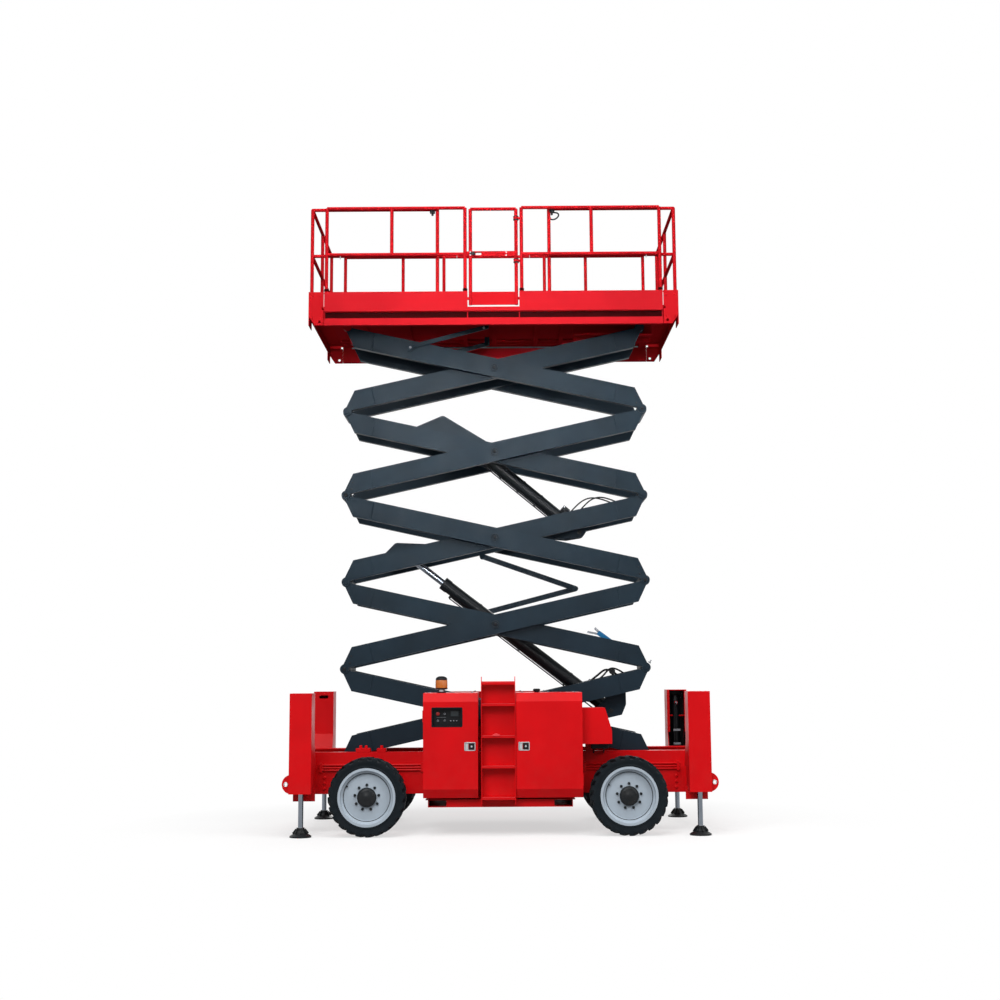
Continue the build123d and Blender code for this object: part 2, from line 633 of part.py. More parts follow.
# ------------------------------------------------------------------ outriggers
leg_bore_top_z = 1400.0
cover_low_z = 1000.0            # where the cover of a rear outrigger ends and its apron begins
apron_depth = 150.0
lobe_out = 95.0                 # from the middle of an outrigger to the middle of its lobe
lobe_z = 550.0
lobe_radius = 100.0
tie_down_radius = 16.0
for end_name, end in (("rear", -1), ("front", 1)):
    for side_name, side in (("near", -1), ("far", 1)):
        x = end * outrigger_x
        outer_y = side * outrigger_outer_y
        leg = (x, side * leg_y)
        inner_y = outer_y - side * outrigger_depth
        beam_top_z = end_beam_z + end_beam_height / 2 + seat_gap
        lobe = (end * (outrigger_x + lobe_out), lobe_z)
        tie_down = (end * (outrigger_x + lobe_out + 58), lobe_z)
        with BuildPart() as housing:
            for wall_x in (x - outrigger_half_width, x + outrigger_half_width - outrigger_plate):
                with BuildSketch(Plane.YZ.offset(wall_x)):
                    with BuildLine():
                        Polyline(
                            (outer_y, outrigger_bottom_z),
                            (outer_y, outrigger_top_z),
                            (inner_y, outrigger_top_z),
                            (inner_y, cover_low_z),
                            (inner_y - side * apron_depth, beam_top_z),
                            (inner_y, beam_top_z),
                            (inner_y, beam_top_z - end_beam_height),
                            (outer_y - side * outrigger_low_depth, outrigger_bottom_z),
                            close=True,
                        )
                    make_face()
                extrude(amount=outrigger_plate)
            with BuildSketch(Plane.XZ.offset(-outer_y)):
                with Locations((x, (outrigger_bottom_z + outrigger_top_z) / 2)):
                    Rectangle(2 * outrigger_half_width, outrigger_top_z - outrigger_bottom_z)
            extrude(amount=side * outrigger_plate)
            for z in (outrigger_top_z - outrigger_plate, beam_top_z - end_beam_height):
                with BuildSketch(Plane.XY.offset(z)):
                    with Locations((x, outer_y - side * outrigger_depth / 2)):
                        Rectangle(2 * outrigger_half_width, outrigger_depth)
                extrude(amount=outrigger_plate)
            # face that is bolted to the end beam
            with BuildSketch(Plane.XZ.offset(-inner_y)):
                with Locations((x, beam_top_z - end_beam_height / 2)):
                    Rectangle(2 * outrigger_half_width, end_beam_height)
            extrude(amount=-side * outrigger_plate)
            if end < 0:
                # cover with a slot, and a sloped apron down to the end beam
                with BuildSketch(Plane.XZ.offset(-inner_y)):
                    with Locations((x, (cover_low_z + outrigger_top_z) / 2)):
                        Rectangle(2 * outrigger_half_width, outrigger_top_z - cover_low_z)
                    with Locations((x, outrigger_top_z - 62)):
                        SlotOverall(110, 40, mode=Mode.SUBTRACT)
                extrude(amount=-side * outrigger_plate)
                with BuildSketch(Plane.YZ.offset(x - outrigger_half_width)):
                    with BuildLine():
                        Polyline(
                            (inner_y, cover_low_z),
                            (inner_y - side * apron_depth, beam_top_z),
                            (inner_y - side * (apron_depth - 12), beam_top_z),
                            (inner_y + side * outrigger_plate, cover_low_z),
                            close=True,
                        )
                    make_face()
                extrude(amount=2 * outrigger_half_width)
            else:
                # lips along the open side
                for lip_x in (x - outrigger_half_width + 15, x + outrigger_half_width - 15):
                    lip_middle = (lip_x, inner_y + side * outrigger_plate / 2, (cover_low_z + outrigger_top_z) / 2)
                    with Locations(lip_middle):
                        Box(30, outrigger_plate, outrigger_top_z - cover_low_z)
            # the leg's cylinder, its head and its port
            with BuildSketch(Plane.XY.offset(outrigger_bottom_z)):
                with Locations(leg):
                    Circle(leg_barrel_radius)
            extrude(amount=leg_bore_top_z + 25 - outrigger_bottom_z)
            for z in (720.0, 1340.0):
                with Locations((x, side * (leg_y - leg_barrel_radius - 12), z)):
                    Box(34, 50, 34)
            # clamp between the leg's cylinder and the walls
            with BuildSketch(Plane.XY.offset(1180)):
                with Locations((x, side * (leg_y + 40))):
                    Rectangle(2 * outrigger_half_width, 150)
            extrude(amount=16)
            # lobe with a hole for tying the machine down
            with BuildSketch(Plane.XZ.offset(-outer_y + side * 70)):
                with Locations(lobe):
                    Circle(lobe_radius)
                with Locations((x, lobe_z)):
                    Rectangle(2 * outrigger_half_width - 20, 140)
                with Locations(tie_down):
                    Circle(tie_down_radius, mode=Mode.SUBTRACT)
            extrude(amount=-side * 20)
            # guard plate behind the rod
            with BuildSketch(Plane.XZ.offset(-side * (leg_y - 90))):
                with Locations((x - end * 20, outrigger_bottom_z - 22)):
                    Rectangle(2 * outrigger_half_width, 132)
            extrude(amount=side * 10)
            with BuildSketch(Plane.XY.offset(outrigger_bottom_z - 20)):
                with Locations(leg):
                    Circle(leg_rod_radius + running_gap)
            extrude(amount=leg_bore_top_z + 20 - outrigger_bottom_z, mode=Mode.SUBTRACT)
        save(f"outrigger_{end_name}_{side_name}", housing)
        with BuildPart() as leg_rod:
            with BuildSketch(Plane.XY.offset(pad_height)):
                with Locations(leg):
                    Circle(leg_rod_radius)
            extrude(amount=leg_rod_top_z - pad_height)
        save(f"leg_rod_{end_name}_{side_name}", leg_rod)
        with BuildPart() as leg_pad:
            with BuildSketch(Plane.XZ.offset(-leg[1])):
                with BuildLine():
                    Polyline(
                        (x, 0),
                        (x + pad_radius, 0),
                        (x + pad_radius, 16),
                        (x + pad_radius - 14, 24),
                        (x + 66, 46),
                        (x + 60, 70),
                        (x + 46, 72),
                        (x + 42, pad_height),
                        (x, pad_height),
                        close=True,
                    )
                make_face()
            revolve(axis=Axis((x, leg[1], 0), (0, 0, 1)))
        save(f"leg_pad_{end_name}_{side_name}", leg_pad)


# ------------------------------------------------------------------ cabinets
cabinet_outer_y = 1150.0
cabinet_inner_y = 600.0
cabinet_bottom_z = 395.0
cabinet_top_z = 1490.0
cabinet_chamfer_z = 92.0
cabinet_chamfer_y = 42.0
cabinet_wall = 6.0
door_thickness = 25.0
door_gap = 3.0
window_x = (-720.0, -402.0)
window_z = (1139.0, 1334.0)
door_inner_y = cabinet_outer_y - cabinet_chamfer_y - door_thickness
door_axis_y = cabinet_outer_y - cabinet_chamfer_y
hinge_radius = 10.0
hinge_length = 60.0
hinge_clear = 2.0
latch_size = (118.0, 88.0, 12.0)    # width, height and depth of the recess of a latch
latch_z = 930.0
latch_from_edge = 86.0

# name, side, low X, high X, hinge at the low X edge, louvres
cabinets = [
    ("rear_near", -1, -815.0, -233.0, True, 0),
    ("front_near", -1, 168.0, 875.0, False, 0),
    ("rear_far", 1, -815.0, 15.0, True, 9),
    ("front_far", 1, 45.0, 875.0, False, 0),
]
for name, side, low_x, high_x, hinge_low, louvres in cabinets:
    hinge_x = low_x if hinge_low else high_x
    outwards = -1 if hinge_low else 1
    latch_x = high_x - latch_from_edge if hinge_low else low_x + latch_from_edge
    hinge_heights = (cabinet_bottom_z + cabinet_chamfer_z + 60, cabinet_top_z - cabinet_chamfer_z - 180)
    depth = door_inner_y - cabinet_inner_y - door_gap
    middle = ((low_x + high_x) / 2, side * (cabinet_inner_y + depth / 2), (cabinet_bottom_z + cabinet_top_z) / 2)
    with BuildPart() as cabinet:
        with Locations(middle):
            Box(high_x - low_x, depth, cabinet_top_z - cabinet_bottom_z)
            Box(
                high_x - low_x - 2 * cabinet_wall,
                depth,
                cabinet_top_z - cabinet_bottom_z - 2 * cabinet_wall,
                mode=Mode.SUBTRACT,
            )
        with Locations((middle[0], side * (cabinet_inner_y + cabinet_wall / 2), middle[2])):
            Box(high_x - low_x, cabinet_wall, cabinet_top_z - cabinet_bottom_z)
        # brackets onto the frame
        for x in (low_x + 120, high_x - 120):
            with Locations((x, side * (frame_half_width + cabinet_inner_y + seat_gap) / 2, 600)):
                Box(80, cabinet_inner_y - frame_half_width - seat_gap, 120)
        # hinge straps, each with its half of a hinge
        for z in hinge_heights:
            with Locations((hinge_x, side * (door_inner_y - 30), z)):
                Box(6, 46, hinge_length)
            with Locations((hinge_x + outwards * 1.7, side * (door_inner_y + door_axis_y - 60) / 2, z)):
                Box(2.6, door_axis_y - door_inner_y + 50, hinge_length)
            with Locations((hinge_x, side * door_axis_y, z)):
                Cylinder(hinge_radius, hinge_length)
    save(f"cabinet_{name}", cabinet)
    with BuildPart() as door:
        with BuildSketch(Plane.YZ.offset(low_x)):
            with BuildLine():
                Polyline(
                    (side * (cabinet_outer_y - cabinet_chamfer_y), cabinet_bottom_z),
                    (side * cabinet_outer_y, cabinet_bottom_z + cabinet_chamfer_z),
                    (side * cabinet_outer_y, cabinet_top_z - cabinet_chamfer_z),
                    (side * (cabinet_outer_y - cabinet_chamfer_y), cabinet_top_z),
                    (side * door_inner_y, cabinet_top_z),
                    (side * door_inner_y, cabinet_top_z - 20),
                    (side * (cabinet_outer_y - door_thickness), cabinet_top_z - cabinet_chamfer_z),
                    (side * (cabinet_outer_y - door_thickness), cabinet_bottom_z + cabinet_chamfer_z),
                    (side * door_inner_y, cabinet_bottom_z + 20),
                    (side * door_inner_y, cabinet_bottom_z),
                    close=True,
                )
            make_face()
        extrude(amount=high_x - low_x)
        # folded edges
        for edge_x in (low_x, high_x - cabinet_wall):
            with BuildSketch(Plane.YZ.offset(edge_x)):
                with BuildLine():
                    Polyline(
                        (side * door_inner_y, cabinet_bottom_z),
                        (side * (cabinet_outer_y - cabinet_chamfer_y), cabinet_bottom_z),
                        (side * (cabinet_outer_y - 2), cabinet_bottom_z + cabinet_chamfer_z),
                        (side * (cabinet_outer_y - 2), cabinet_top_z - cabinet_chamfer_z),
                        (side * (cabinet_outer_y - cabinet_chamfer_y), cabinet_top_z),
                        (side * door_inner_y, cabinet_top_z),
                        close=True,
                    )
                make_face()
            extrude(amount=cabinet_wall)
        for z in hinge_heights:
            with Locations((hinge_x, side * door_axis_y, z + hinge_length + seat_gap)):
                Cylinder(hinge_radius, hinge_length)
            with Locations((hinge_x, side * door_axis_y, z)):
                Cylinder(hinge_radius + hinge_clear, hinge_length + 2 * seat_gap, mode=Mode.SUBTRACT)
        with Locations((latch_x, side * (cabinet_outer_y - latch_size[2] / 2), latch_z)):
            Box(*(latch_size[0], latch_size[2], latch_size[1]), mode=Mode.SUBTRACT)
        with Locations((latch_x + 12, side * (cabinet_outer_y - latch_size[2] / 2 - 2), latch_z)):
            Box(latch_size[0] / 2, latch_size[2], latch_size[1] * 0.6)
        for row in range(louvres):
            louvre_z = cabinet_bottom_z + 240 + row * 62
            with Locations(((low_x + high_x) / 2 - 120, side * cabinet_outer_y, louvre_z)):
                Box(320, 200, 16, mode=Mode.SUBTRACT)
        if name == "rear_near":
            with Locations((sum(window_x) / 2, -cabinet_outer_y, sum(window_z) / 2)):
                Box(
                    window_x[1] - window_x[0], 200, window_z[1] - window_z[0], mode=Mode.SUBTRACT
                )
    save(f"door_{name}", door)

with BuildPart() as control_panel:
    panel_y = -(cabinet_outer_y - door_thickness - 75)
    panel_x = (cabinets[0][2] + cabinet_wall + seat_gap, window_x[1] - 5)
    with Locations((sum(panel_x) / 2, panel_y, sum(window_z) / 2)):
        Box(panel_x[1] - panel_x[0], 60, window_z[1] - window_z[0] - 10)
    # stop button, key switch and display
    stop_x, key_x, display_x = (window_x[0] + share * (window_x[1] - window_x[0]) for share in (0.19, 0.42, 0.75))
    high_z, low_z = (window_z[0] + share * (window_z[1] - window_z[0]) for share in (0.68, 0.3))
    with BuildSketch(Plane.XZ.offset(-panel_y + 30)):
        with Locations((stop_x, high_z)):
            Circle(19)
        with Locations((key_x, high_z), (stop_x, low_z), (key_x, low_z)):
            Circle(10)
    extrude(amount=20)
    with BuildSketch(Plane.XZ.offset(-panel_y + 30)):
        with Locations((display_x, high_z)):
            Rectangle(100, 70)
    extrude(amount=8)
save("control_panel", control_panel)

with BuildPart() as engine_block:
    engine_base_z = cabinet_bottom_z + cabinet_wall + seat_gap
    engine_y = (cabinet_inner_y + door_axis_y) / 2
    with Locations((cabinets[2][2] + 415, engine_y, engine_base_z + 130)):
        Box(650, 300, 260)
    with Locations((cabinets[2][2] + 395, engine_y, engine_base_z + 400)):
        Box(480, 340, 300)
    with BuildSketch(Plane.YZ.offset(cabinets[2][2] + 635)):
        with Locations((engine_y, engine_base_z + 330)):
            Circle(150)
    extrude(amount=30)
save("engine_block", engine_block)

with BuildPart() as ladder:
    ladder_x = (-200.0, 165.0)
    ladder_bottom_z = 330.0
    ladder_top_z = 1660.0
    ladder_back_y = -1050.0
    ladder_front_y = -1180.0
    ladder_plate = 8.0
    ladder_mid_x = sum(ladder_x) / 2
    ladder_width = ladder_x[1] - ladder_x[0]
    for x in (ladder_x[0], ladder_x[1] - ladder_plate):
        with BuildSketch(Plane.YZ.offset(x)):
            with BuildLine():
                Polyline(
                    (ladder_back_y, ladder_bottom_z),
                    (ladder_front_y, ladder_bottom_z),
                    (ladder_front_y, ladder_top_z - 100),
                    (ladder_front_y + 50, ladder_top_z),
                    (ladder_back_y, ladder_top_z),
                    close=True,
                )
            make_face()
        extrude(amount=ladder_plate)
    with Locations((ladder_mid_x, ladder_back_y - 3, (ladder_bottom_z + ladder_top_z - 50) / 2)):
        Box(ladder_width, 6, ladder_top_z - 50 - ladder_bottom_z)
    # treads with a turned-down lip
    for z in (400.0, 725.0, 1040.0, 1373.0, 1596.0):
        with Locations((ladder_mid_x, (ladder_back_y + ladder_front_y) / 2 + 4, z)):
            Box(ladder_width, 116, 6)
        with Locations((ladder_mid_x, ladder_front_y + 11, z - 9)):
            Box(ladder_width, 5, 24)
    for z in (500.0, 820.0):
        with Locations((ladder_mid_x, (ladder_back_y - frame_half_width) / 2 - 1.5, z)):
            Box(60, -ladder_back_y - frame_half_width + 3 - seat_gap, 40)
save("ladder", ladder)

with BuildPart() as beacon:
    beacon_x, beacon_y = -625.0, -1000.0
    beacon_z = cabinet_top_z + seat_gap
    with BuildSketch(Plane.XZ.offset(-beacon_y)):
        with BuildLine():
            Polyline(
                (beacon_x, beacon_z),
                (beacon_x + 52, beacon_z),
                (beacon_x + 46, beacon_z + 12),
                (beacon_x + 34, beacon_z + 14),
                (beacon_x + 34, beacon_z + 34),
                (beacon_x + 64, beacon_z + 40),
                (beacon_x + 68, beacon_z + 58),
                (beacon_x + 64, beacon_z + 134),
                (beacon_x + 46, beacon_z + 166),
                (beacon_x + 20, beacon_z + 178),
                (beacon_x, beacon_z + 178),
                close=True,
            )
        make_face()
    revolve(axis=Axis((beacon_x, beacon_y, 0), (0, 0, 1)))
save("beacon", beacon)

with BuildPart() as side_cover:
    cover_x = cabinets[1][3] + seat_gap
    cover_wall = 6.0
    cover_outline = ((0, 943), (0, 1322), (250, 1322), (321, 1088), (321, 943))
    cover_outer_y = 1000.0
    with BuildSketch(Plane.XZ.offset(cover_outer_y)):
        with BuildLine():
            Polyline(*((cover_x + x, z) for x, z in cover_outline), close=True)
        make_face()
    extrude(amount=-(cover_outer_y - frame_half_width - seat_gap))
    with BuildSketch(Plane.XZ.offset(cover_outer_y - cover_wall)):
        with BuildLine():
            Polyline(*((cover_x + x, z) for x, z in cover_outline), close=True)
        make_face()
        offset(amount=-cover_wall, mode=Mode.REPLACE)
    extrude(amount=-(cover_outer_y - frame_half_width - 3 * cover_wall), mode=Mode.SUBTRACT)
    with Locations((cover_x + 160, -(cover_outer_y + frame_half_width) / 2, 945)):
        Box(300, cover_outer_y - frame_half_width - 60, 30, mode=Mode.SUBTRACT)
    # foot on the frame
    with Locations((cover_x + 100, -frame_half_width - 3 - seat_gap, 880)):
        Box(90, 6, 160)
save("side_cover", side_cover)


# ------------------------------------------------------------------ platform
def rail_tubes(runs):
    """Round tubes from point to point, each with its ends on the axes that it meets."""
    for start, end in runs:
        direction = Vector(*end) - Vector(*start)
        across = Plane(origin=start, z_dir=direction)
        upright = abs(direction.Z) > 1
        with BuildSketch(across) as tube_section:
            Circle(rail_tube_radius if upright else rail_tube_radius - 1)
        extrude(tube_section.sketch, amount=direction.length)


deck_plate = 6.0
beam_web_inset = 50.0
toe_board_drop = 42.0           # of the toe board, under the floor
lip_height = 78.0               # of the lower edge of the side beam
gate_gap = gate_half_width + 12
rib_depth = 25.0
deck_low_z = deck_top_z - deck_plate
web_y = platform_half_width - beam_web_inset
highest_angle = 39.6            # of the arms, at the top of their travel
with BuildPart() as platform_deck:
    with Locations((upper_works_x, 0, deck_top_z - deck_plate / 2)):
        Box(2 * platform_half_length, 2 * platform_half_width, deck_plate)
    for side in (-1, 1):
        with BuildSketch(Plane.YZ.offset(upper_works_x - platform_half_length)):
            with Locations((side * (platform_half_width - 5), (toe_board_top_z + deck_top_z - toe_board_drop) / 2)):
                Rectangle(10, toe_board_height + toe_board_drop)
            with Locations((side * web_y, (side_beam_bottom_z + deck_low_z) / 2)):
                Rectangle(10, deck_low_z - side_beam_bottom_z)
            with Locations((side * (platform_half_width - beam_web_inset / 2 - 2.5), side_beam_bottom_z + 5)):
                Rectangle(beam_web_inset + 5, 10)
            with Locations((side * (platform_half_width - 5), side_beam_bottom_z + lip_height / 2)):
                Rectangle(10, lip_height)
        extrude(amount=2 * platform_half_length)
        # upright ribs in the side beam
        for x in (-platform_half_length + 6, -gate_gap, gate_gap, platform_half_length - 6):
            rib_y, rib_z = side * (web_y + beam_web_inset / 2 - 4), (side_beam_bottom_z + deck_top_z) / 2
            with Locations((upper_works_x + x, rib_y, rib_z)):
                Box(8, beam_web_inset - 8, side_beam_depth - 2)
    # the gate's gap in the toe board
    with Locations((upper_works_x, -platform_half_width, deck_top_z + 4 + toe_board_height / 2)):
        Box(2 * gate_gap, 60, toe_board_height, mode=Mode.SUBTRACT)
    # cross members close under the floor, and those that leave room for the sliding arm ends
    for x in (-1500.0, -1000.0, -350.0, 0.0, 500.0, 800.0):
        with Locations((upper_works_x + x, 0, deck_low_z - rib_depth / 2)):
            Box(50, 2 * web_y, rib_depth)
    slide_outer_y = inner_beam_y + beam_width / 2 + 20
    for x in (1150.0, 1500.0, 1800.0):
        for side in (-1, 1):
            with Locations((upper_works_x + x, side * (web_y + slide_outer_y) / 2, deck_low_z - rib_depth / 2)):
                Box(50, web_y - slide_outer_y, rib_depth)
    for y in (-800.0, -600.0, 600.0, 800.0):
        with Locations((upper_works_x, y, deck_low_z - rib_depth / 2)):
            Box(2 * platform_half_length - 40, 30, rib_depth)
    # tracks for the rollers of the top inner arm
    track_outer_y = inner_beam_y - beam_width / 2 - 5
    track_inner_y = track_outer_y - roller_clear - roller_width
    track_bottom_z = top_pin_z - track_half_height - rail_plate
    reach_when_high = arm_pin_distance * cos(radians(highest_angle)) - 2 * half_span
    track_start_x = upper_works_x + half_span + reach_when_high - 1.5 * roller_radius
    track_end_x = upper_works_x + platform_half_length - 45
    for side in (-1, 1):
        with BuildSketch(Plane.YZ.offset(track_start_x)):
            with Locations((side * (track_inner_y - rail_plate / 2), (track_bottom_z + deck_low_z) / 2)):
                Rectangle(rail_plate, deck_low_z - track_bottom_z)
            track_mid_y = side * (track_inner_y - rail_plate + track_outer_y) / 2
            with Locations((track_mid_y, track_bottom_z + rail_plate / 2)):
                Rectangle(track_outer_y - track_inner_y + rail_plate, rail_plate)
        extrude(amount=track_end_x - track_start_x)
    # ears for the upper pins of the top outer arm
    top_x, top_z = pin_point(-1, stage_count)
    for y in mirrored_y(outer_beam_y):
        for ear_y in (y - (beam_width - tongue_width) / 2 + 1, y + (beam_width - tongue_width) / 2 - 1):
            with BuildSketch(Plane.XZ.offset(-ear_y)):
                with Locations((top_x, top_z)):
                    Circle(lug_radius)
                with Locations((top_x, (top_z + deck_low_z) / 2)):
                    Rectangle(2 * lug_radius, deck_low_z - top_z)
            extrude(amount=9, both=True)
        with BuildSketch(Plane.XZ.offset(-y)):
            with Locations((top_x, top_z)):
                Circle(pin_radius)
        extrude(amount=beam_width / 2, both=True)
save("platform_deck", platform_deck)

rail_y = platform_half_width - rail_tube_radius - 2
gate_hinge_heights = (520.0, 1010.0)   # over the floor of the platform
with BuildPart() as platform_rails:
    low = deck_top_z + seat_gap
    x0 = upper_works_x - platform_half_length + rail_tube_radius
    x1 = upper_works_x + platform_half_length - rail_tube_radius
    g0 = upper_works_x - gate_half_width - 2 * rail_tube_radius
    g1 = upper_works_x + gate_half_width + 2 * rail_tube_radius
    near, far = -rail_y + 12, rail_y - 12
    # Y, start, end, places of the posts in the upper half as shares of the length
    panels = [
        (near, x0, g0, (0.47,)),
        (near, g1, x1, (0.507,)),
        (far, x0, x1, (0.194, 0.807)),
    ]
    for y, a, b, middles in panels:
        rail_tubes(
            [
                ((a, y, low), (a, y, rail_top_z)),
                ((b, y, low), (b, y, rail_top_z)),
                ((a, y, rail_top_z), (b, y, rail_top_z)),
                ((a, y, mid_rail_z), (b, y, mid_rail_z)),
            ]
            + [((a + (b - a) * share, y, mid_rail_z), (a + (b - a) * share, y, rail_top_z)) for share in middles]
        )
    # hinge eyes round the gate's post
    gate_post_x = g1 - 3 * rail_tube_radius
    for height in gate_hinge_heights:
        with BuildSketch(Plane.XY.offset(deck_top_z + height)):
            with Locations((gate_post_x, near)):
                Circle(rail_tube_radius + 9)
            with Locations(((gate_post_x + g1) / 2, near)):
                Rectangle(g1 - gate_post_x, 24)
            with Locations((gate_post_x, near)):
                Circle(rail_tube_radius + running_gap, mode=Mode.SUBTRACT)
        extrude(amount=24)
    # keeper for the gate's latch
    with Locations((g0 + rail_tube_radius + 8, near, mid_rail_z)):
        Box(24, 14, 60)
save("platform_rails", platform_rails)

with BuildPart() as gate:
    ga = upper_works_x - gate_half_width + rail_tube_radius
    gz = deck_top_z + 30
    gate_top_z = rail_top_z - 15
    rail_tubes(
        [
            ((ga, near, gz), (ga, near, gate_top_z)),
            ((gate_post_x, near, gz), (gate_post_x, near, gate_top_z)),
            ((ga, near, gate_top_z), (gate_post_x, near, gate_top_z)),
        ]
    )
    with Locations(((ga + gate_post_x) / 2, near, (gz + toe_board_top_z) / 2)):
        Box(gate_post_x - ga, 8, toe_board_top_z - gz)
    # middle rail with the handle's opening
    with BuildSketch(Plane.XZ.offset(-near)):
        with Locations(((ga + gate_post_x) / 2, mid_rail_z)):
            Rectangle(gate_post_x - ga, 60)
        with Locations((ga + 90, mid_rail_z)):
            SlotOverall(70, 32, mode=Mode.SUBTRACT)
    extrude(amount=13, both=True)
save("gate", gate)

runner_height = 8.0
extension_plate = 20.0
plate_half_y = extension_rail_y + 30
for end_name, end in (("rear", -1), ("front", 1)):
    outer_x = upper_works_x + end * extension_reach
    inner_x = upper_works_x + end * extension_inner_x
    edge_x = upper_works_x + end * (platform_half_length + 6)
    with BuildPart() as extension:
        plate_mid = ((outer_x + inner_x) / 2, 0, deck_top_z + runner_height + extension_plate / 2)
        with Locations(plate_mid):
            Box(abs(outer_x - inner_x), 2 * plate_half_y, extension_plate)
        # runners on the floor of the platform
        for y in mirrored_y(extension_rail_y - 60):
            with Locations((plate_mid[0], y, deck_top_z + (runner_height + seat_gap) / 2)):
                Box(abs(outer_x - inner_x) - 20, 50, runner_height - seat_gap)
        # end plate with rounded lower corners, and its side pieces
        with BuildSketch(Plane.YZ.offset(outer_x)):
            with Locations((0, (toe_board_top_z + side_beam_bottom_z) / 2)):
                Rectangle(2 * platform_half_width, toe_board_top_z - side_beam_bottom_z)
            with Locations((0, side_beam_bottom_z + 40)):
                Rectangle(2 * platform_half_width - 500, 120, mode=Mode.SUBTRACT)
        extrude(amount=-end * 8)
        for y in mirrored_y(platform_half_width - 4):
            with BuildSketch(Plane.XZ.offset(-y)):
                with BuildLine():
                    Polyline(
                        (outer_x, toe_board_top_z),
                        (outer_x, side_beam_bottom_z + 105),
                        (outer_x - end * 70, side_beam_bottom_z),
                        (edge_x, side_beam_bottom_z),
                        (edge_x, toe_board_top_z),
                        close=True,
                    )
                make_face()
                with Locations((edge_x + end * 42, side_beam_bottom_z + 40)):
                    Circle(15, mode=Mode.SUBTRACT)
                with Locations((edge_x, toe_board_top_z - 190)):
                    Rectangle(44, 36, mode=Mode.SUBTRACT)
            extrude(amount=4, both=True)
            for z in (toe_board_top_z - 6, side_beam_bottom_z + 172):
                rib_y = y * (platform_half_width - 30) / (platform_half_width - 4)
                with Locations(((edge_x + outer_x) / 2, rib_y, z)):
                    Box(abs(outer_x - edge_x), 56, 6)
        a, b = outer_x - end * (rail_tube_radius + 4), inner_x + end * (rail_tube_radius + 5)
        foot_z = deck_top_z + runner_height + 5
        for y in mirrored_y(extension_rail_y):
            rail_tubes(
                [
                    ((a, y, foot_z), (a, y, rail_top_z)),
                    ((b, y, foot_z), (b, y, rail_top_z)),
                    ((a, y, rail_top_z), (b, y, rail_top_z)),
                    ((a, y, mid_rail_z), (b, y, mid_rail_z)),
                    (((a + b) / 2, y, mid_rail_z), ((a + b) / 2, y, rail_top_z)),
                ]
            )
            # sockets of the posts
            for x in (a, b):
                with Locations((x, y, foot_z + 60)):
                    Cylinder(rail_tube_radius + 6, 90)
        rail_tubes(
            [
                ((a, -extension_rail_y, rail_top_z), (a, extension_rail_y, rail_top_z)),
                ((a, -extension_rail_y, mid_rail_z), (a, extension_rail_y, mid_rail_z)),
                ((a, 0, foot_z), (a, 0, rail_top_z)),
            ]
        )
    save(f"extension_deck_{end_name}", extension)
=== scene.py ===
# %% [markdown]
# # A rough-terrain scissor lift
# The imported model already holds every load-bearing piece: wheels, chassis, arms, cylinders and platform. This
# script dresses it. It sets the camera, gives each piece a finish worked out from nodes, and adds what fitters
# add last: treads, nuts, pin heads, latches, pipes and lamps. New shapes are worked out with numpy.

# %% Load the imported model
import json
import math

import bpy
import numpy as np
from mathutils import Matrix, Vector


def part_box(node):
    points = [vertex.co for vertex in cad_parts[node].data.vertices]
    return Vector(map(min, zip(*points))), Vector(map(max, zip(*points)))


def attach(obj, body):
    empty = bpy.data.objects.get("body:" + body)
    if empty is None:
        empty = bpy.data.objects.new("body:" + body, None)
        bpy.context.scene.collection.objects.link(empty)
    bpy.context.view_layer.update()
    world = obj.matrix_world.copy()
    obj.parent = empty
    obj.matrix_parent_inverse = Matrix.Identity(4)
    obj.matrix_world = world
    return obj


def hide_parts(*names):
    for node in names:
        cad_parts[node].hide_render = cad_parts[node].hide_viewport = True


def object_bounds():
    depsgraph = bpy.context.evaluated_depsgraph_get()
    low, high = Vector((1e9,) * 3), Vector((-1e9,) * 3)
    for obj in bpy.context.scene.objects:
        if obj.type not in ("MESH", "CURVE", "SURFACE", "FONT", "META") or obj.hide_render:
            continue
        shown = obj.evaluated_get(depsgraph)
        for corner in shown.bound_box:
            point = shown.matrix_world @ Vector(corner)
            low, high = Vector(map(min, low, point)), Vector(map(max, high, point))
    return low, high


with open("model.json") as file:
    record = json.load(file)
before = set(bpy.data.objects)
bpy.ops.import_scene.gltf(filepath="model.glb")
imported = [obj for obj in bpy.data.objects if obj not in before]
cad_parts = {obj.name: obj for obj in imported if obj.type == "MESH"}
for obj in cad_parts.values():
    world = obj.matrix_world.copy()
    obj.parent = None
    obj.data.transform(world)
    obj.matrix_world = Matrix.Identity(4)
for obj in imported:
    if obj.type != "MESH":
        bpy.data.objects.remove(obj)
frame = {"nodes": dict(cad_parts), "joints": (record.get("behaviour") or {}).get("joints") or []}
nodes = frame["nodes"]
joints = {j["name"]: j for j in frame["joints"]}
cad_box = [list(corner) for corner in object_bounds()]

# %% [markdown]
# ## The camera
# The lift is seen square from its ladder side, from 17 m away at the height of a person's chest, with the
# camera tipped up. That is why the deck is seen from below and the wheels nearly level.

